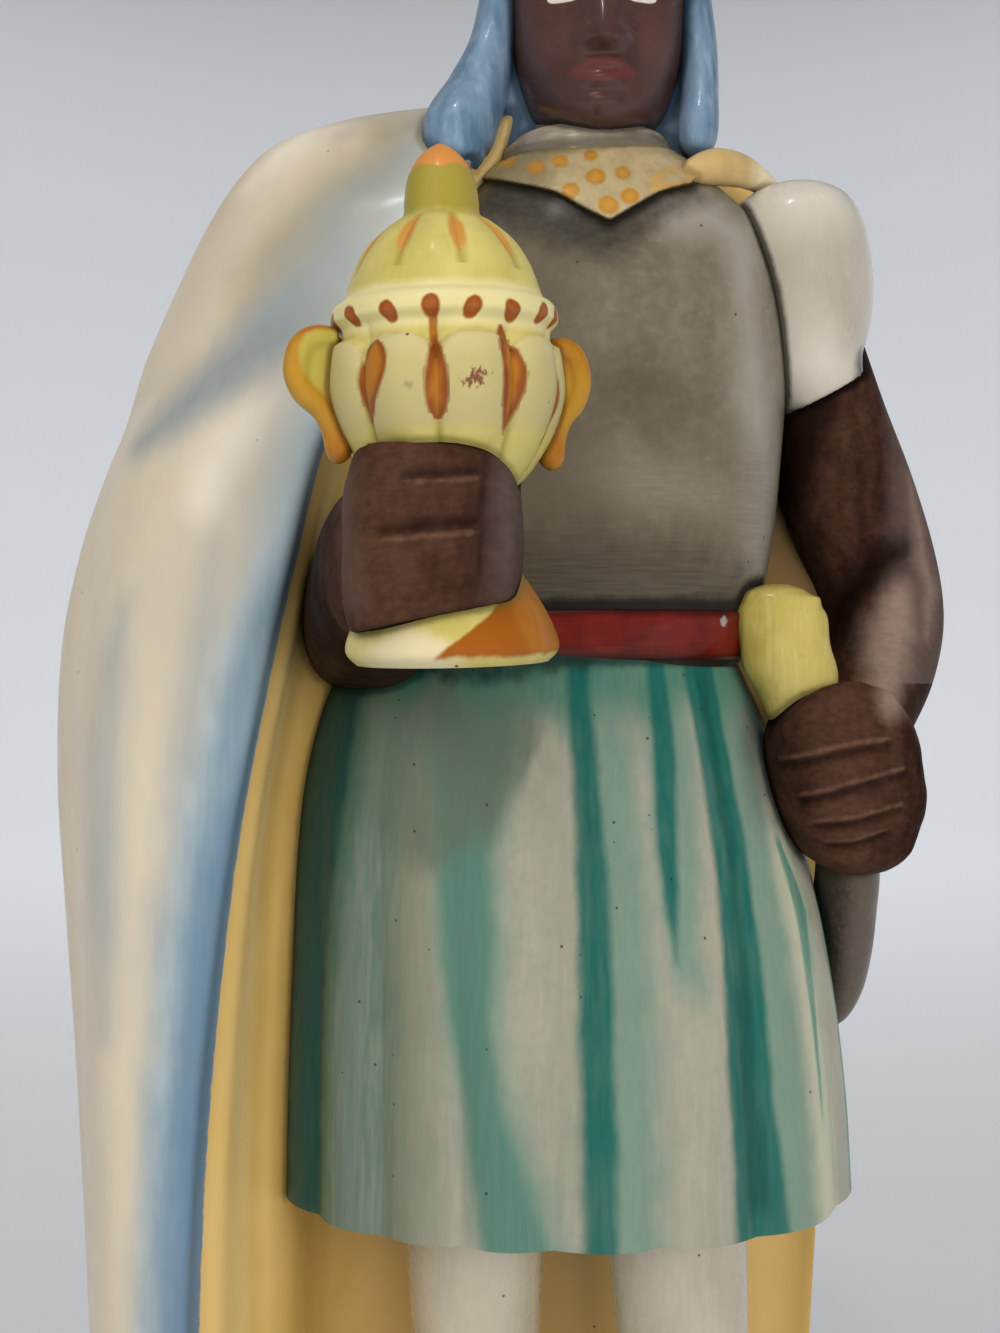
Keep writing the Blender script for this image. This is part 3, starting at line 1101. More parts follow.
# white glaze over soft wraps, grey in their hollows
neckPaint = {
    "base": "#b5a996", "wash": "#988c79", "washSize": 6, "streak": "#cbc3b5", "streakShare": 0.5,
    "brush": (6, 6, 0.8), "crease": ("#3f3a32", 1.4, 0.75), "roughness": (0.26, 0.4), "coat": 0.3,
    "ripple": 0.12,
}
headCloth = {
    "levels": [
        (243, -17, 17, -4, 19), (247, -19.5, 18.6, -4.6, 21.6), (256, -17.6, 18.6, -4.4, 22),
        (268, -16.4, 18.4, -4, 21.6), (278, -15.4, 17.6, -3, 21), (284, -12, 14, -2, 16),
    ],
    "squareness": 2.6, "folds": 9, "foldDepth": 0.6, "rows": 120, "columns": 260, "voxel": 0.5, "passes": 4,
}
lappets = {
    "pair": [
        [
            (-13.6, -2, 278, 3, 5), (-15.4, -3.4, 266, 3.6, 5.4), (-18, -6.6, 257, 4.8, 5.8),
            (-20.2, -10.2, 251, 5.6, 5.4), (-19.8, -12.2, 247.4, 4.8, 4.2), (-18.4, -13.2, 245.2, 2.6, 2.4),
        ],
        [
            (15.2, -2, 278, 2.8, 5), (16.4, -3, 266, 3, 5.2), (16.4, -5, 257, 3, 5),
            (16, -7.2, 252.4, 3.1, 4.4), (15.7, -8.6, 249.6, 2.6, 3.2), (15.4, -9.2, 248, 1.3, 1.6),
        ],
    ],
    "rows": 70, "columns": 60,
}
# cobalt wash under clear glaze: patchy, darker where two strokes cross
bluePaint = {
    "base": "#758fa9", "wash": "#496883", "washSize": 5, "washShare": 0.9, "streak": "#9db4c6",
    "streakShare": 0.5, "brush": (1, 1, 5), "bristle": 1.4, "crease": ("#20384c", 1.6, 0.8),
    "roughness": (0.26, 0.4), "coat": 0.3, "ripple": 0.14,
}
head = {
    "levels": [
        (250.6, -2.5, 4.5, -13.4, 6), (251.6, -5.6, 7.6, -15, 9), (254.5, -9, 11, -15.8, 12),
        (259, -11, 13, -16, 14), (264, -12.4, 14.4, -16, 16), (270, -13, 15, -15.6, 17.4),
        (276, -13.4, 15.4, -16, 18.2), (283, -13.4, 15.4, -15.4, 18), (290, -11, 13, -12, 15),
        (294, -6, 8, -7, 10),
    ],
    "middle": 1.0, "chin": 253.6, "mouth": 257.8, "noseBase": 261.6, "eyes": 269.6, "brow": 273.4,
    "eyeSpread": 24, "eyeX": 5.3, "eyeHalf": 2.9, "squareness": 2.1, "warp": 0.5, "rows": 190, "columns": 300,
}
# Ears: rows of out from the head, y, z, half width, half depth
ears = {
    "rim": [
        (0, 0.5, 262.6, 0.9, 1.2), (0.6, 0, 265, 1.5, 2.4), (0.9, 0.6, 269, 1.6, 3),
        (0.6, 1.6, 272.6, 1.3, 2.4), (0, 2, 274, 0.6, 1),
    ],
    "fromMiddle": 13.6, "rows": 40, "columns": 40, "voxel": 0.3,
}
# the same brown body paint, rubbed smooth on the face, with painted eyes and lips
facePaint = {
    "base": "#4d332d", "wash": "#3d2825", "washSize": 8, "streak": "#5f4036", "streakShare": 0.3,
    "brush": (3, 3, 3),
    "layers": [
        layer("cheeks", "#63413a", 3, 1, strength=0.5),
        layer("lips", "#5f2f2b", 0.35, 0.15, 1.0, 0.8),
        layer("brows", "#150f0e", 0.3, 0.25, 0.8, 0.9),
        layer("whites", "#d9d2c6", 0.14, 0.05, 1.0),
        layer("irises", "#1d1410", 0.12, 0.04, 1.0),
        layer("lashes", "#120c0b", 0.14, 0.08, 0.8, 0.95),
    ],
    "crease": ("#150c0b", 0.9, 0.8), "roughness": (0.24, 0.38), "coat": 0.4, "coatRoughness": 0.16,
    "ripple": 0.05,
}
turban = {
    "levels": [
        (276.2, -13.8, 15.8, -16.6, 18), (278, -16.4, 18.4, -18.8, 20), (282, -18.6, 20.6, -20.6, 22),
        (287, -19.2, 21.2, -21, 22.6), (292, -17.4, 19.4, -18.6, 20.6), (296.4, -12.6, 14.6, -13.4, 16),
        (299.2, -6.4, 8.4, -7, 9), (300, -1.5, 3.5, -2, 3.5),
    ],
    "turns": 3, "depth": 0.9, "squareness": 2.2, "rows": 130, "columns": 260,
}
turbanPaint = {
    "base": "#d5cbb9", "wash": "#c3bba9", "washSize": 9, "streak": "#e1d9c9", "streakShare": 0.3,
    "brush": (6, 6, 1), "layers": [layer("hollow", "#c6a765", 0.5, 0.3, 1.6, 0.75)],
    "crease": ("#5c543f", 0.9, 0.7), "roughness": (0.14, 0.28), "coat": 0.7, "coatRoughness": 0.07,
    "ripple": 0.14,
}


def faceRelief(angle, height):
    chinAt, mouth, noseBase, eyes, brow = (head[key] for key in ("chin", "mouth", "noseBase", "eyes", "brow"))
    turn = (np.degrees(angle) + 540) % 360 - 180
    away = np.abs(turn)
    front = ramp(away, 80, 40)
    ridge = ramp(height, noseBase - 1.6, noseBase + 0.4) * ramp(height, brow + 1, eyes)
    nose = bump(turn, 0, 9.5) * ridge * mix(1.1, 3, ramp(height, brow, noseBase + 1))
    wings = bump(away, 11, 6) * bump(height, noseBase + 1.2, 1.5) * 1.1
    sockets = bump(away, head["eyeSpread"], 11) * bump(height, eyes + 0.6, 2.8) * -1.7
    lids = bump(away, head["eyeSpread"], 7.5) * bump(height, eyes - 0.2, 1.5) * 1.1
    browRidge = bump(away, 24, 20) * bump(height, brow + 0.6, 1.7) * 0.6
    lips = bump(turn, 0, 15) * 0.95 * (bump(height, mouth + 1.2, 0.9) + bump(height, mouth - 1.3, 1.1))
    chin = bump(turn, 0, 20) * bump(height, chinAt, 1.8) * 0.9
    underLip = bump(turn, 0, 16) * bump(height, mouth - 3.1, 0.9) * -0.6
    return front * (nose + wings + sockets + lids + browRidge + lips + chin + underLip)


def makeHead():
    points, _, height = uprightGrid(head, faceRelief)
    x = points[..., 0] - head["middle"]
    away = np.abs(x)
    front = points[..., 1] < -4
    eyeX, eyeHalf = head["eyeX"], head["eyeHalf"]
    fromEye = np.abs(away - eyeX)
    opening = 1.15 * np.sqrt(np.clip(1 - (fromEye / eyeHalf) ** 2, 0, 1))
    lift = height - head["eyes"] - 0.1
    whites = onlyOn(front, np.minimum(opening - np.abs(lift), eyeHalf - fromEye))
    lashes = 0.28 - np.abs(lift - opening - 0.1) - 4 * np.maximum(0, fromEye - 3.0)
    arch = np.abs(height - head["brow"] - 0.4 + 0.05 * (away - 4.5) ** 2)
    gridPiece("head", points, {
        "whites": whites,
        "irises": onlyOn(whites > -0.3, 1.0 - np.hypot(away - eyeX, lift - 0.15)),
        "lashes": onlyOn(front, lashes),
        "brows": onlyOn(front, 0.55 - arch - 3 * np.maximum(0, np.abs(away - 5.4) - 3.6)),
        "lips": onlyOn(front, 1.9 - np.abs(height - head["mouth"]) - 0.07 * x**2),
        "cheeks": onlyOn(front, 2.4 - np.hypot(away - 7.5, height - 262.5)),
    })
    grids = []
    for hand in (-1, 1):
        earX = head["middle"] + hand * ears["fromMiddle"]
        stations = [(earX + hand * out, *row) for out, *row in ears["rim"]]
        grids.append(limbGrid({**ears, "stations": stations}))
    fusedPiece("ears", grids, ears["voxel"])


def makeHeadgear():
    gridPiece("neckCloth", uprightGrid(neck)[0])

    def folds(angle, height):
        return headCloth["foldDepth"] * np.cos(angle * headCloth["folds"]) * ramp(height, 276, 258)

    grids = [uprightGrid(headCloth, folds)[0]]
    grids += [limbGrid({**lappets, "stations": stations}) for stations in lappets["pair"]]
    fusedPiece("headCloth", grids, headCloth["voxel"], headCloth["passes"])

    def windings(angle, height):
        climb = np.abs(np.sin(angle / 2)) * 7
        turn = np.sin((height - 276 + climb) / 24 * turban["turns"] * fullTurn)
        return turban["depth"] * turn * ramp(height, 299, 290)

    points, angle, height = uprightGrid(turban, windings)
    gridPiece("turban", points, {"hollow": -windings(angle, height) - 0.45})


# Cup: a lidded standing cup with lobes on bowl and lid; rows of height, radius, depth of the valleys
cup = {
    "foot": (-19.7, -57.2, 171.2), "forward": 3.5, "aside": -1.3, "turn": 14, "firstValley": -2.6,
    "lidTurn": 16, "lidStart": 39.6, "lidEnd": 44.4, "lobes": 9, "lobeDepth": 1.3,
    "profile": [
        (0, 11.4, 0), (1.4, 12.6, 0), (3.4, 12.3, 0), (7, 10.6, 0), (11.4, 7.8, 0), (16, 5.4, 0),
        (19.4, 6.8, 0), (22, 9.6, 0.35), (26.4, 12.5, 0.8), (31, 14, 1), (35, 13.8, 1),
        (37.6, 13.2, 0.4), (39.4, 13.3, 0), (40.6, 13.2, 0), (41.4, 12.7, 0), (42, 11.8, 0),
        (42.8, 11.4, 0), (44.4, 10.9, 0.1), (46.4, 10.1, 0.35), (48.8, 8.5, 0.6), (50.8, 6.2, 0.4),
        (51.9, 4.6, 0), (53.6, 4.35, 0), (55.6, 4.1, 0), (57.2, 3.5, 0), (58.6, 2.6, 0), (59.6, 1.5, 0),
        (60.2, 0.5, 0),
    ],
    "handle": [
        (-12.6, 37.6, 0.9), (-15, 37.8, 1), (-16.8, 36.6, 1.05), (-17.5, 34, 1), (-16.7, 31.6, 0.95),
        (-14.7, 29.8, 0.95), (-13.4, 27.6, 1), (-12.6, 24.8, 1.1), (-12, 23.8, 0.5),
    ],
    "handleRadius": 1.5, "handleDrop": 1, "handleShare": 0.78, "handleRoot": -12,
    "voxel": 0.32, "mergeDistance": 0.004,
    "web": [(-12.6, 29.4, 1.4), (-13.8, 32, 2), (-14.4, 35, 2.6), (-14, 38, 2)], "webThickness": 1.8,
    "rows": 210, "columns": 289,
    # painted leaves in the valleys: degrees from the front, lowest, highest, half width in millimetres,
    # lean in degrees a millimetre, bend of the top in degrees, and where they are fullest
    "leaves": [
        (-37, 26, 36.4, 2.35, 1.0, 0, 1.8), (-2.4, 27.2, 36.8, 1.4, 0.1, -1, 0.7),
        (36.5, 25.6, 38, 1.75, 0.5, -7, 1.15), (76, 24.6, 35, 1.4, 1.2, -6, 1.0),
        (117, 25, 36, 1.6, 0.3, 0, 1.2), (157, 26, 36, 1.5, 0.2, 4, 0.9),
        (-163, 25, 36.4, 1.6, 0.4, 0, 1.3), (-123, 26, 36, 1.4, 0.2, 0, 1.0),
        (-83, 25, 33, 0.9, 0.3, 0, 1.0),
    ],
    "dots": [-50.4, -26, -4.4, 15.7, 37, 59, 77, 98, 119, 140, 160, 181, 202, 223, 244, 265, 287],
    "dotHeight": 39.4, "petalTop": 36.9, "petalStep": 0.85,
    # the handle's strap as it is seen, over a web of the bowl's own glaze: x, height, half width
    "strap": [
        (-31.6, 210.2, 0.9), (-35.2, 210.4, 1), (-37.4, 209.4, 1.1), (-38.4, 207.2, 1.2),
        (-38.3, 205.3, 1.1), (-37.6, 203.4, 1), (-36.4, 202, 1), (-35, 200.8, 1), (-34.2, 199.4, 1.1),
        (-33.6, 197.6, 1.4), (-32.6, 195.8, 2.2),
    ],
}
# lemon glaze, olive where it is thick, with leaves and dots in iron orange
cupPaint = {
    "base": "#cfc374", "wash": "#bbae5a", "washSize": 6, "streak": "#d0c47a", "streakShare": 0.35,
    "brush": (1, 1, 4), "mottle": 0.15,
    "layers": [
        layer("band", "#dfd59c", 0.6, 0.3, 3, 0.9),
        layer("petals", "#bcb07b", 0.7, 0.35, 3, 0.9),
        layer("petalTops", "#c9bc88", 1.2, 0.4, 3, 0.8),
        layer("ledge", "#e4daa4", 0.9, 0.4, 4, 0.85),
        layer("valley", "#a09240", 1.0, 0.3, 2, 0.7),
        layer("olive", "#9a8b30", 1.0, 0.5, 2.4, 0.9),
        layer("whiteFoot", "#dccfa6", 1.2, 0.8, 3),
        layer("leaves", "#a5641d", 0.16, 0.18, 1.4, 0.97),
        layer("leafHearts", "#b8771e", 0.9, 0.7, 1.8, 0.75),
        layer("leafShade", "#7e3a10", 0.6, 0.6, 1.6, 0.85),
        layer("lidStrokes", "#c88a3a", 0.3, 0.2, 1.4, 0.9),
        layer("dots", "#93490f", 0.18, 0.2, 1.0),
        layer("dotHearts", "#a8602a", 0.5, 0.5, 0.9, 0.7),
        layer("tip", "#d28b45", 0.25, 0.35, 1.2),
        layer("firePatch", "#9c570f", 0.4, 0.45, 2.4),
        layer("flicker", "#b57a22", 3.5, 2.6, 1.6, 0.7, stretch=(1, 1, 3)),
        layer("smudge", "#7d735a", 0.2, 0.5, 0.4, 0.5),
        layer("chip", "#713c2e", 0.2, 1.0, 0.36, 0.9),
    ],
    "crease": ("#6f6630", 0.8, 0.55), "specks": 0.08, "roughness": (0.34, 0.46), "gloss": 0.3,
    "coat": 0.15, "coatRoughness": 0.16, "ripple": 0.06, "ridges": 0.02,
}
# orange glaze pulled over the handles, yellow where the brush ran dry
handlePaint = {
    "base": "#ad6d1e", "wash": "#b3831f", "washSize": 4, "washShare": 0.9, "streak": "#9a5a18",
    "streakShare": 0.5, "brush": (1, 1, 5),
    "layers": [
        layer("dry", "#bb952e", 1.4, 1.2, 3, 0.6),
        layer("web", "#b3a548", 0.35, 0.2, strength=1.0),
    ],
    "crease": ("#6a4214", 0.7, 0.7), "specks": 0.2, "roughness": (0.3, 0.42), "gloss": 0.3, "coat": 0.2,
    "ripple": 0.08,
}


def inHand(points):
    a, b = math.radians(cup["forward"]), math.radians(cup["aside"])
    lean = np.array([[1, 0, 0], [0, math.cos(a), -math.sin(a)], [0, math.sin(a), math.cos(a)]])
    tip = np.array([[math.cos(b), 0, math.sin(b)], [0, 1, 0], [-math.sin(b), 0, math.cos(b)]])
    return points @ (lean @ tip).T + np.array(cup["foot"])


# Geometry Nodes: a profile turned round the axis, its lobes cut by the angle
def lobedTree():
    labels = ("Lobes", "Lobe Depth", "Merge Distance")
    tree, add, given = openTree("lobedVessel", Int=("Rows", "Columns"), Float=labels)
    columns = given["Columns"]
    sheet = add("GeometryNodeMeshGrid", {"Vertices X": given["Rows"], "Vertices Y": columns})
    index = add("GeometryNodeInputIndex")
    counted = add(maths, (add(maths, (index, 0.5), operation="ADD"), columns), operation="DIVIDE")
    row = add(maths, (counted,), operation="FLOOR")
    column = add(maths, (index, add(maths, (row, columns), operation="MULTIPLY")), operation="SUBTRACT")
    last = add(maths, (columns, 1.0), operation="SUBTRACT")
    phase = add(maths, (add(maths, (column, last), operation="DIVIDE"), fullTurn), operation="MULTIPLY")

    def fromProfile(value, kind):
        inputs = {"Geometry": given["Geometry"], "Value": value, "Index": row}
        return add("GeometryNodeSampleIndex", inputs, data_type=kind, domain="POINT")

    place = fromProfile(add("GeometryNodeInputPosition"), "FLOAT_VECTOR")
    radius, _, height = add("ShaderNodeSeparateXYZ", (place,)).outputs
    valley, turn = (
        fromProfile(add("GeometryNodeInputNamedAttribute", {"Name": label}, data_type="FLOAT"), "FLOAT")
        for label in ("valley", "lobeTurn")
    )
    halfLobes = add(maths, (given["Lobes"], 0.5), operation="MULTIPLY")
    halfTurns = add(maths, (phase, halfLobes), operation="MULTIPLY")
    wave = add(maths, (add(maths, (halfTurns,), operation="SINE"),), operation="ABSOLUTE")
    crest = add(maths, (wave, 0.6), operation="POWER")
    depth = add(maths, (given["Lobe Depth"], valley), operation="MULTIPLY")
    cut = add(maths, (depth, add(maths, (1.0, crest), operation="SUBTRACT")), operation="MULTIPLY")
    reach = add(maths, (radius, cut), operation="SUBTRACT")
    back = add(maths, (reach, -1.0), operation="MULTIPLY")
    angle = add(maths, (phase, turn), operation="ADD")
    x = add(maths, (add(maths, (angle,), operation="SINE"), reach), operation="MULTIPLY")
    y = add(maths, (add(maths, (angle,), operation="COSINE"), back), operation="MULTIPLY")
    spot = add("ShaderNodeCombineXYZ", (x, y, height))
    shaped = add("GeometryNodeSetPosition", {"Geometry": sheet.outputs["Mesh"], "Position": spot})
    stored = keepField(add, shaped, "crest", crest)
    merged = add("GeometryNodeMergeByDistance", {"Geometry": stored, "Distance": given["Merge Distance"]})
    return closeTree(tree, add("GeometryNodeFlipFaces", {"Mesh": merged}), given["Glaze"])


# One handle's strap and web, on the side that hand gives, drawn in by a share and dropped
def handleGrids(hand, share, drop):
    turn = math.radians(cup["turn"])
    outX, outY = math.cos(turn), math.sin(turn)

    def beside(x, z):
        out = hand * ((x - cup["handleRoot"]) * share + cup["handleRoot"])
        return out * outX, out * outY, z - drop

    radius = cup["handleRadius"]
    strap = [(*beside(x, z), radius * thick, radius * thick) for x, z, thick in cup["handle"]]
    web = [(*beside(x, z), half, cup["webThickness"] / 2) for x, z, half in cup["web"]]
    forms = (
        {"stations": strap, "rows": 90, "columns": 40, "side": (-outY, outX, 0)},
        {"stations": web, "rows": 40, "columns": 40, "side": (outX, outY, 0)},
    )
    return [inHand(limbGrid(form)) for form in forms]


def makeHandles():
    grids = handleGrids(1, 1, 0) + handleGrids(-1, cup["handleShare"], cup["handleDrop"])
    handles = fusedPiece("cupHandles", grids, cup["voxel"])
    drawn = drawnPoints(handles)
    x, y, z = (drawn - cup["foot"]).T
    turn = math.radians(cup["turn"])
    out = np.abs(x * math.cos(turn) + y * math.sin(turn))
    thick = np.abs(y * math.cos(turn) - x * math.sin(turn))
    between = np.minimum(16.1 - out, 0.98 - thick) - 3 * np.maximum(0, 29.5 - z) - 3 * np.maximum(0, z - 36.2)
    strap = frontStroke(drawn[:, 0], drawn[:, 2], cup["strap"])
    web = np.where(x < 0, -strap - 0.3, np.minimum(between, 15.6 - out))
    setFields(handles.data, {"web": web, "dry": 2 - np.abs(z - 31) * 0.5})


def makeCup(glaze):
    rows = cup["rows"]
    table = alongRows(cup["profile"], np.linspace(0, 1, rows - 2))
    height, radius, valley = np.concatenate([[(0, 0, 0)], table, [(table[-1, 0] + 0.05, 0, 0)]]).T
    turn = cup["firstValley"] + cup["lidTurn"] * ramp(height, cup["lidStart"], cup["lidEnd"])
    profile = bpy.data.meshes.new("cup")
    steps = [(k, k + 1) for k in range(rows - 1)]
    profile.from_pydata(np.column_stack([radius, 0 * radius, height]).tolist(), steps, [])
    setFields(profile, {"valley": np.clip(valley, 0, 2), "lobeTurn": np.radians(turn)})
    pieces["cup"] = placed("cup", profile)
    values = {"Rows": rows, "Columns": cup["columns"], "Lobes": float(cup["lobes"]), "Glaze": glaze}
    values.update({"Lobe Depth": cup["lobeDepth"], "Merge Distance": cup["mergeDistance"]})
    mesh = runTree(pieces["cup"], lobedTree(), values)
    own = valuesOf(mesh.vertices, "co", 3)
    crest = valuesOf(mesh.attributes["crest"].data, "value")
    reach = np.hypot(own[:, 0], own[:, 1])
    degrees = np.degrees(np.arctan2(own[:, 0], -own[:, 1]))
    height = own[:, 2]

    # millimetres round the cup from an angle
    def fromAngle(centre):
        return ((degrees - centre + 180) % 360 - 180) * math.pi / 180 * reach

    def leafField(centre, low, high, half, lean, bend, fullest):
        t = np.clip((height - low) / (high - low), 0, 1)
        width = half * np.sin(math.pi * t**fullest) ** 0.75
        drift = lean * (height - (low + high) / 2) + bend * ramp(t, 0.5, 1)
        return onlyOn((t > 0) & (t < 1), width - np.abs(fromAngle(centre + drift)) - 0.2)

    def dotField(centre):
        above = height - cup["dotHeight"]
        across = (fromAngle(centre) + above * 0.3 * math.cos(centre)) * 1.02
        return 1.1 - np.hypot(across, (above - 0.2 * math.sin(centre)) * 0.9)

    leaves = np.max([leafField(*leaf) for leaf in cup["leaves"]], 0)
    stem = onlyOn(np.abs(height - 37.6) < 1.8, 0.5 - np.abs(fromAngle(-4)))
    dots = np.max([dotField(centre) for centre in cup["dots"]], 0)
    lidTurns = [cup["firstValley"] + cup["lidTurn"] + k * 360 / cup["lobes"] for k in range(cup["lobes"])]
    lidHeight = (height - 48.6) * 0.42
    lidStrokes = np.max([0.95 - np.hypot(fromAngle(centre), lidHeight) for centre in lidTurns], 0)
    foot = height < 17
    # the lobes of the bowl end in round petal tops under the rim
    arch = cup["petalTop"] - 3.0 * (1 - crest) ** 1.4
    above = ramp(height, arch - 0.25, arch + 0.35) * ramp(height, 39.6, 38.2) * (height > 30)
    own[:, :2] *= (1 - cup["petalStep"] * above / np.maximum(reach, 1))[:, None]
    onPetal = np.min([arch - height, (crest - 0.3) * 3, (height - 26.5) * 0.7], 0)
    onBowl, onLid = (height > 22) & (height < arch), (height > 44.4) & (height < 51.4)
    fireSide = fromAngle(mix(-8, 43, ramp(height, 0, 10)))
    chip = 0.55 - np.hypot(fromAngle(15.5), (height - 31.6) * 1.5 - fromAngle(15.5) * 0.4) * 0.5
    setFields(mesh, {
        "leaves": np.maximum(leaves, stem),
        "leafHearts": leaves - 0.75,
        "leafShade": onlyOn(leaves > -0.5, 0.4 - np.abs(leaves - 0.2)),
        "lidStrokes": onlyOn(height > 44, lidStrokes),
        "dots": dots,
        "dotHearts": dots - 0.5,
        "tip": height - 57.1 + 0.3 * np.cos(np.radians(degrees) * 5),
        "olive": np.minimum(height - 51.4, 6),
        "smudge": onlyOn((degrees > -40) & (degrees < 0), 0.35 - np.hypot(fromAngle(-15), height - 31) * 0.8),
        "petals": onPetal,
        "petalTops": onlyOn(onPetal > 0, 2.2 - (arch - height)),
        "ledge": 0.8 - np.abs(height - 41.7),
        "band": np.minimum(height - 37.6, 42 - height),
        "valley": np.where(onBowl, 0.3 - crest, onlyOn(onLid, 0.42 - crest)) * 4,
        "whiteFoot": onlyOn(foot, 2.2 - np.abs(fromAngle(-24)) * 0.38 - np.maximum(0, height - 2.4) * 0.9),
        "firePatch": onlyOn(foot, np.min([height - 1.1, fireSide, -fromAngle(86)], 0)),
        "flicker": onlyOn(foot, np.minimum(degrees - 46, 3) * 0.3 + np.minimum(0, height - 1.6) * 9),
        "chip": onlyOn((degrees > -20) & (degrees < 40), chip),
    })
    mesh.vertices.foreach_set("co", toMetres(inHand(own)).ravel())
    mesh.update()
    mesh.shade_smooth()


# Legs in hose with ankle boots; stations of x, y, z, half width, half depth from hip to sole
legs = {
    "right": [
        (-18, 1, 98, 11.5, 11.5), (-18, 1, 76, 10.5, 10.5), (-17.5, 3, 56, 9.6, 10.4),
        (-17, 4, 38, 7.4, 8), (-17, 4, 26, 6.8, 7.4), (-17, 3, 14, 7.6, 9), (-17, 2, 7, 8, 9.4),
    ],
    "left": [
        (12, -3, 98, 11.5, 11.5), (13.5, -5, 76, 10.4, 10.4), (14.5, -4, 56, 9.4, 10.2),
        (15.5, -3, 38, 7.3, 8), (16, -4, 26, 6.8, 7.4), (16.5, -5, 14, 7.6, 9), (16.5, -6, 7, 8, 9.4),
    ],
    "turn": {"right": -12, "left": 16}, "bootTop": 42, "voxel": 0.6,
    # along the foot from heel to toe: distance, height, half width, half depth
    "tread": [
        (-9, 13, 6, 4), (-5, 14, 7.6, 7), (6, 14, 7.8, 7.5), (16, 12.5, 8.2, 5.6), (24, 11.4, 6.6, 4.4),
        (30, 10.4, 3, 3),
    ],
    # the boot's turned top: height from it, how far it stands proud
    "cuff": [(3, 1.2), (0, 1.2), (-3, 0.72)],
}
# plain ivory hose and red-brown boots, finished as the rest of the figure
legPaint = {
    "base": "#bdb6a4", "wash": "#aaa393", "washSize": 12, "streak": "#cbc4b2", "streakShare": 0.3,
    "brush": (1, 1, 8),
    "layers": [
        layer("boot", "#6b3a2a", 0.3, 0.35, 1.6),
        layer("sole", "#33201a", 0.5, 0.3, 1.6, 0.8),
        layer("cuff", "#8a5238", 0.4, 0.3, 1.6, 0.8),
    ],
    "crease": ("#2e2620", 1.6, 0.7), "specks": 0.15, "roughness": (0.2, 0.34), "coat": 0.5,
    "ripple": 0.12,
}
base = {
    "edge": 2.5, "squareness": 2.9, "left": -79, "right": 41, "front": -42, "back": 41,
    "sideTop": 5.6, "columns": 360,
}
# moss-green ground, darker towards the edge
basePaint = {
    "base": "#7d8a62", "wash": "#68764f", "washSize": 9, "streak": "#94a07a", "streakShare": 0.4,
    "brush": (2, 2, 2), "bristle": 2, "layers": [layer("side", "#5a4a36", 0.6, 0.5, 3, 0.9)],
    "crease": ("#3a3a28", 2.2, 0.7), "specks": 0.4, "roughness": (0.22, 0.36), "coat": 0.5,
    "ripple": 0.25,
}


def makeLegs():
    grids = []
    top = legs["bootTop"]
    for name in ("right", "left"):
        stations = legs[name]
        x, y = stations[-1][:2]
        turn = math.radians(legs["turn"][name])
        toeX, toeY = math.sin(turn), -math.cos(turn)
        foot = [(x + toeX * run, y + toeY * run, *row) for run, *row in legs["tread"]]
        upward = [(z, a, b, w, d) for a, b, z, w, d in reversed(stations)]
        _, ankleX, ankleY, width, depth = atHeight(upward, top)
        cuff = [(ankleX, ankleY, top + lift, width + proud, depth + proud) for lift, proud in legs["cuff"]]
        grids += [
            limbGrid({"stations": stations, "rows": 120, "columns": 90}),
            limbGrid({"stations": foot, "rows": 70, "columns": 70, "side": (-toeY, toeX, 0)}),
            limbGrid({"stations": cuff, "rows": 16, "columns": 90}),
        ]
    piece = fusedPiece("legs", grids, legs["voxel"])
    z = drawnPoints(piece)[:, 2]
    setFields(piece.data, {"boot": top + 3.2 - z, "sole": 9.6 - z, "cuff": 3.1 - np.abs(z - top)})


def makeBase():
    edge, squareness = base["edge"], base["squareness"]
    left, right, front, back = (base[key] for key in ("left", "right", "front", "back"))
    halfWidth, halfDepth = (right - left) / 2, (back - front) / 2
    wall = np.linspace(0, baseHeight - edge, 12)[:-1]
    bend = np.linspace(0, math.pi / 2, 13)
    inward = np.linspace(0, 1, 14)[1:-1]
    heights = np.concatenate([wall, baseHeight - edge * (1 - np.sin(bend)), baseHeight + 0 * inward])
    insets = np.concatenate([0 * wall, edge * (1 - np.cos(bend)), edge + inward * (halfDepth - edge - 2)])
    angle = np.arange(base["columns"]) / base["columns"] * fullTurn - math.pi
    x = (halfWidth - insets)[:, None] * squared(np.sin(angle), squareness) + (left + right) / 2
    y = (insets - halfDepth)[:, None] * squared(np.cos(angle), squareness) + (front + back) / 2
    points = np.stack([x, y, heights[:, None] + 0 * x], -1)
    gridPiece("base", points, {"side": base["sideTop"] - points[..., 2]})


# Geometry Nodes: how close each vertex is to the neighbouring pieces, in millimetres. Colour gathers there.
def creviceTree():
    tree, add, given = openTree("creviceDepth", Object=("Neighbours",))
    others = add("GeometryNodeObjectInfo", {"Object": given["Neighbours"]}).outputs["Geometry"]
    near = add("GeometryNodeProximity", {"Geometry": others}, target_element="FACES").outputs["Distance"]
    depth = add(maths, (near, 1 / mm), operation="MULTIPLY")
    return closeTree(tree, keepField(add, given["Geometry"], "crevice", depth), given["Glaze"])


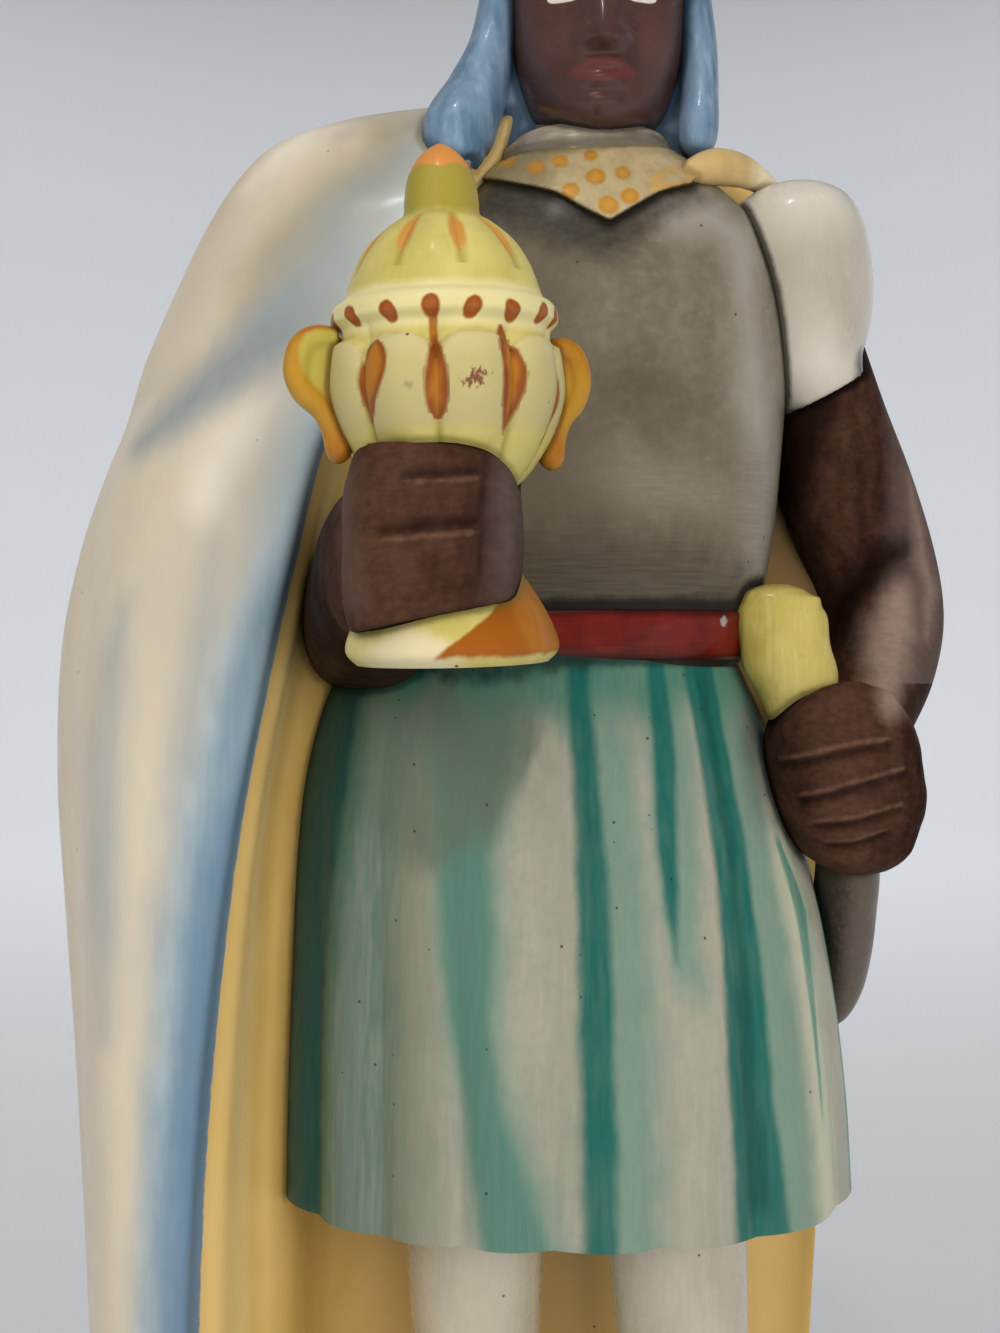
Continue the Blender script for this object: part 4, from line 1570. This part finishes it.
touching = {
    "tunic": ["belt", "collar", "leftArm", "sleeve", "cloak", "neckCloth", "headCloth", "hilt"],
    "belt": ["tunic", "skirt", "hilt", "rightHand"],
    "skirt": ["belt", "cloak", "leftArm", "hilt", "sheath", "rightHand", "legs", "cup"],
    "cloak": ["rightHand", "sleeve", "leftArm", "skirt", "tunic", "headCloth", "base", "legs"],
    "sleeve": ["tunic", "leftArm", "cloak"], "rightHand": ["cup", "cloak", "skirt"],
    "leftArm": ["sleeve", "hilt", "sheath", "tunic", "skirt"],
    "hilt": ["leftArm", "skirt", "tunic", "belt"], "sheath": ["leftArm", "skirt"],
    "collar": ["neckCloth", "headCloth", "cloak", "tunic"],
    "lapel": ["collar", "cloak", "sleeve", "headCloth"], "neckCloth": ["collar", "head", "headCloth"],
    "headCloth": ["turban", "cloak", "neckCloth", "head", "collar"],
    "head": ["turban", "neckCloth", "headCloth", "ears"], "ears": ["turban", "headCloth"],
    "turban": ["head", "headCloth"], "cup": ["rightHand", "cupHandles"], "cupHandles": ["cup"],
    "legs": ["base", "skirt", "cloak"], "base": ["legs", "cloak"],
}


def gatherCrevices():
    tree = creviceTree()
    for name, others in touching.items():
        vertices, faces, start = [], [], 0
        for other in others:
            mesh = pieces[other].data
            corners = valuesOf(mesh.loops, "vertex_index", kind=int) + start
            sizes = valuesOf(mesh.polygons, "loop_total", kind=int)
            faces += [part.tolist() for part in np.split(corners, np.cumsum(sizes)[:-1])]
            vertices.append(valuesOf(mesh.vertices, "co", 3))
            start += len(mesh.vertices)
        mesh = bpy.data.meshes.new("neighbours")
        mesh.from_pydata(np.concatenate(vertices).tolist(), [], faces)
        neighbours = placed("neighbours", mesh)
        runTree(pieces[name], tree, {"Neighbours": neighbours, "Glaze": glazes[name]})
        bpy.data.objects.remove(neighbours)
        bpy.data.meshes.remove(mesh)


glazes = {
    "tunic": paintedGlaze("smokyTaupeUnderglaze", tunicPaint),
    "belt": paintedGlaze("redEnamel", beltPaint),
    "skirt": paintedGlaze("seaGreenUnderglaze", skirtPaint),
    "cloak": paintedGlaze("creamGlaze", cloakPaint),
    "sleeve": paintedGlaze("whiteGlaze", sleevePaint),
    "rightHand": paintedGlaze("brownUnderglaze", skinPaint),
    "hilt": paintedGlaze("yellowGlaze", hiltPaint),
    "sheath": paintedGlaze("greyBrownGlaze", sheathPaint),
    "collar": paintedGlaze("spottedCreamGlaze", collarPaint),
    "lapel": paintedGlaze("ochreCollarGlaze", lapelPaint),
    "neckCloth": paintedGlaze("greyWhiteGlaze", neckPaint),
    "headCloth": paintedGlaze("cobaltWashGlaze", bluePaint),
    "head": paintedGlaze("brownFaceGlaze", facePaint),
    "turban": paintedGlaze("creamTurbanGlaze", turbanPaint),
    "cup": paintedGlaze("lemonGlaze", cupPaint),
    "cupHandles": paintedGlaze("orangeGlaze", handlePaint),
    "legs": paintedGlaze("hoseAndBootGlaze", legPaint),
    "base": paintedGlaze("mossGroundGlaze", basePaint),
}
glazes["leftArm"] = glazes["rightHand"]
glazes["ears"] = glazes["head"]
print("glazes mixed")
makeTunic()
makeBelt()
makeSkirt(glazes["skirt"])
print("tunic, belt and skirt made")
makeCloak()
print("cloak made")
makeSleeve()
makeHands()
makeHilt()
makeSheath()
print("arms, hands and dagger made")
makeCollar()
makeLapel()
makeHead()
makeHeadgear()
print("collar, head and headgear made")
makeCup(glazes["cup"])
makeHandles()
print("cup made")
makeLegs()
makeBase()
print("legs and base made")
gatherCrevices()
print("crevices measured")

for name, piece in pieces.items():
    piece.data.materials.clear()
    piece.data.materials.append(glazes[name])
    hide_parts("figure")
    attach(piece, "root")
print("pieces dressed:", len(pieces))

# Stage: a pale floor that rises all round in one soft sweep, so no horizon shows
stage = {
    "rings": (0.05, 0.3, 0.7, 1.1), "floor": 1.4, "sweep": 0.9, "wall": 1.6, "columns": 96,
    "colour": "#bec0c3",
}


def makeStage():
    bend = np.linspace(0, math.pi / 2, 25)
    sweep, far = stage["sweep"], stage["floor"] + stage["sweep"]
    reach = np.concatenate([stage["rings"], stage["floor"] + sweep * np.sin(bend), [far]])
    flat = np.zeros(len(stage["rings"]))
    rise = np.concatenate([flat, sweep * (1 - np.cos(bend)), [sweep + stage["wall"]]])
    reach, rise = reach[:, None], rise[:, None]
    columns = stage["columns"]
    angle = np.arange(columns) / columns * fullTurn
    points = np.stack([reach * np.cos(angle), reach * np.sin(angle), rise + 0 * angle], -1)
    faces = tubeFaces(len(points), columns) + [list(range(columns))[::-1]]
    mesh = bpy.data.meshes.new("paleFloor")
    mesh.from_pydata(points.reshape(-1, 3).tolist(), [], faces)
    mesh.shade_smooth()
    paper = bpy.data.materials.new("matPaper")  # matt backdrop paper: no gloss at all
    paper.use_nodes = True
    shader = paper.node_tree.nodes["Principled BSDF"]
    shader.inputs["Base Color"].default_value = toLinear(stage["colour"])
    shader.inputs["Roughness"].default_value = 0.9
    shader.inputs["Specular IOR Level"].default_value = 0.1
    mesh.materials.append(paper)
    placed("paleFloor", mesh)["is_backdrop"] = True


makeStage()
print("stage made")

# Light: a soft sky and two large boxes in front. The boxes are cross-polarised, so that they light the paint
# and leave no reflection in the glaze; one small lamp gives the glints. A long box washes the paper behind.
# Rows of name, place, aim, size, watts, colour, and whether the light leaves glints
lights = [
    ("softBox", (-0.5, -0.9, 0.62), (0, 0, 0.17), (1.0, 0.8), 6.4, "#fff9f0", False),
    ("fillBox", (0.55, -0.95, 0.26), (0, 0, 0.14), (0.9, 0.7), 8.2, "#fffaf4", False),
    ("glintLamp", (-0.13, -0.47, 1.1), (0, 0, 0.2), (0.05, 0.05), 0.9, "#ffffff", True),
    ("paperWash", (0, 1.1, 1.5), (0, 1.3, 0), (2.4, 0.3), 33, "#fcfdff", False),
]
sky = {"colour": "#f3f1ee", "strength": 0.22}


def makeLights():
    world = bpy.data.worlds.new("studio")
    world.use_nodes = True
    background = world.node_tree.nodes["Background"]
    background.inputs["Color"].default_value = toLinear(sky["colour"])
    background.inputs["Strength"].default_value = sky["strength"]
    bpy.context.scene.world = world
    for name, place, aim, size, watts, colour, glints in lights:
        lamp = bpy.data.lights.new(name, "AREA")
        lamp.shape = "RECTANGLE"
        lamp.size, lamp.size_y = size
        lamp.energy = watts
        lamp.color = toLinear(colour)[:3]
        holder = placed(name, lamp)
        holder.visible_glossy = glints
        holder.location = place
        holder.rotation_euler = (Vector(aim) - Vector(place)).to_track_quat("-Z", "Y").to_euler()


makeLights()

# Camera: close and level, at the height of the fist
view = {"lens": 40.5, "place": (-14.1, -235.0, 170.7)}
camera = placed("camera", bpy.data.cameras.new("camera"))
camera.data.lens = view["lens"]
camera.data.clip_start = 0.01
camera.location = toMetres(view["place"])
camera.rotation_euler = (math.pi / 2, 0, 0)
bpy.context.scene.camera = camera
bpy.context.scene.view_settings.view_transform = "Standard"
print("lights and camera set")

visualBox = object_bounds()
boxes = {"cad": [list(corner) for corner in cadBox], "visual": [list(corner) for corner in visualBox]}
for label, box in boxes.items():
    print(label, [[round(v, 4) for v in corner] for corner in box])
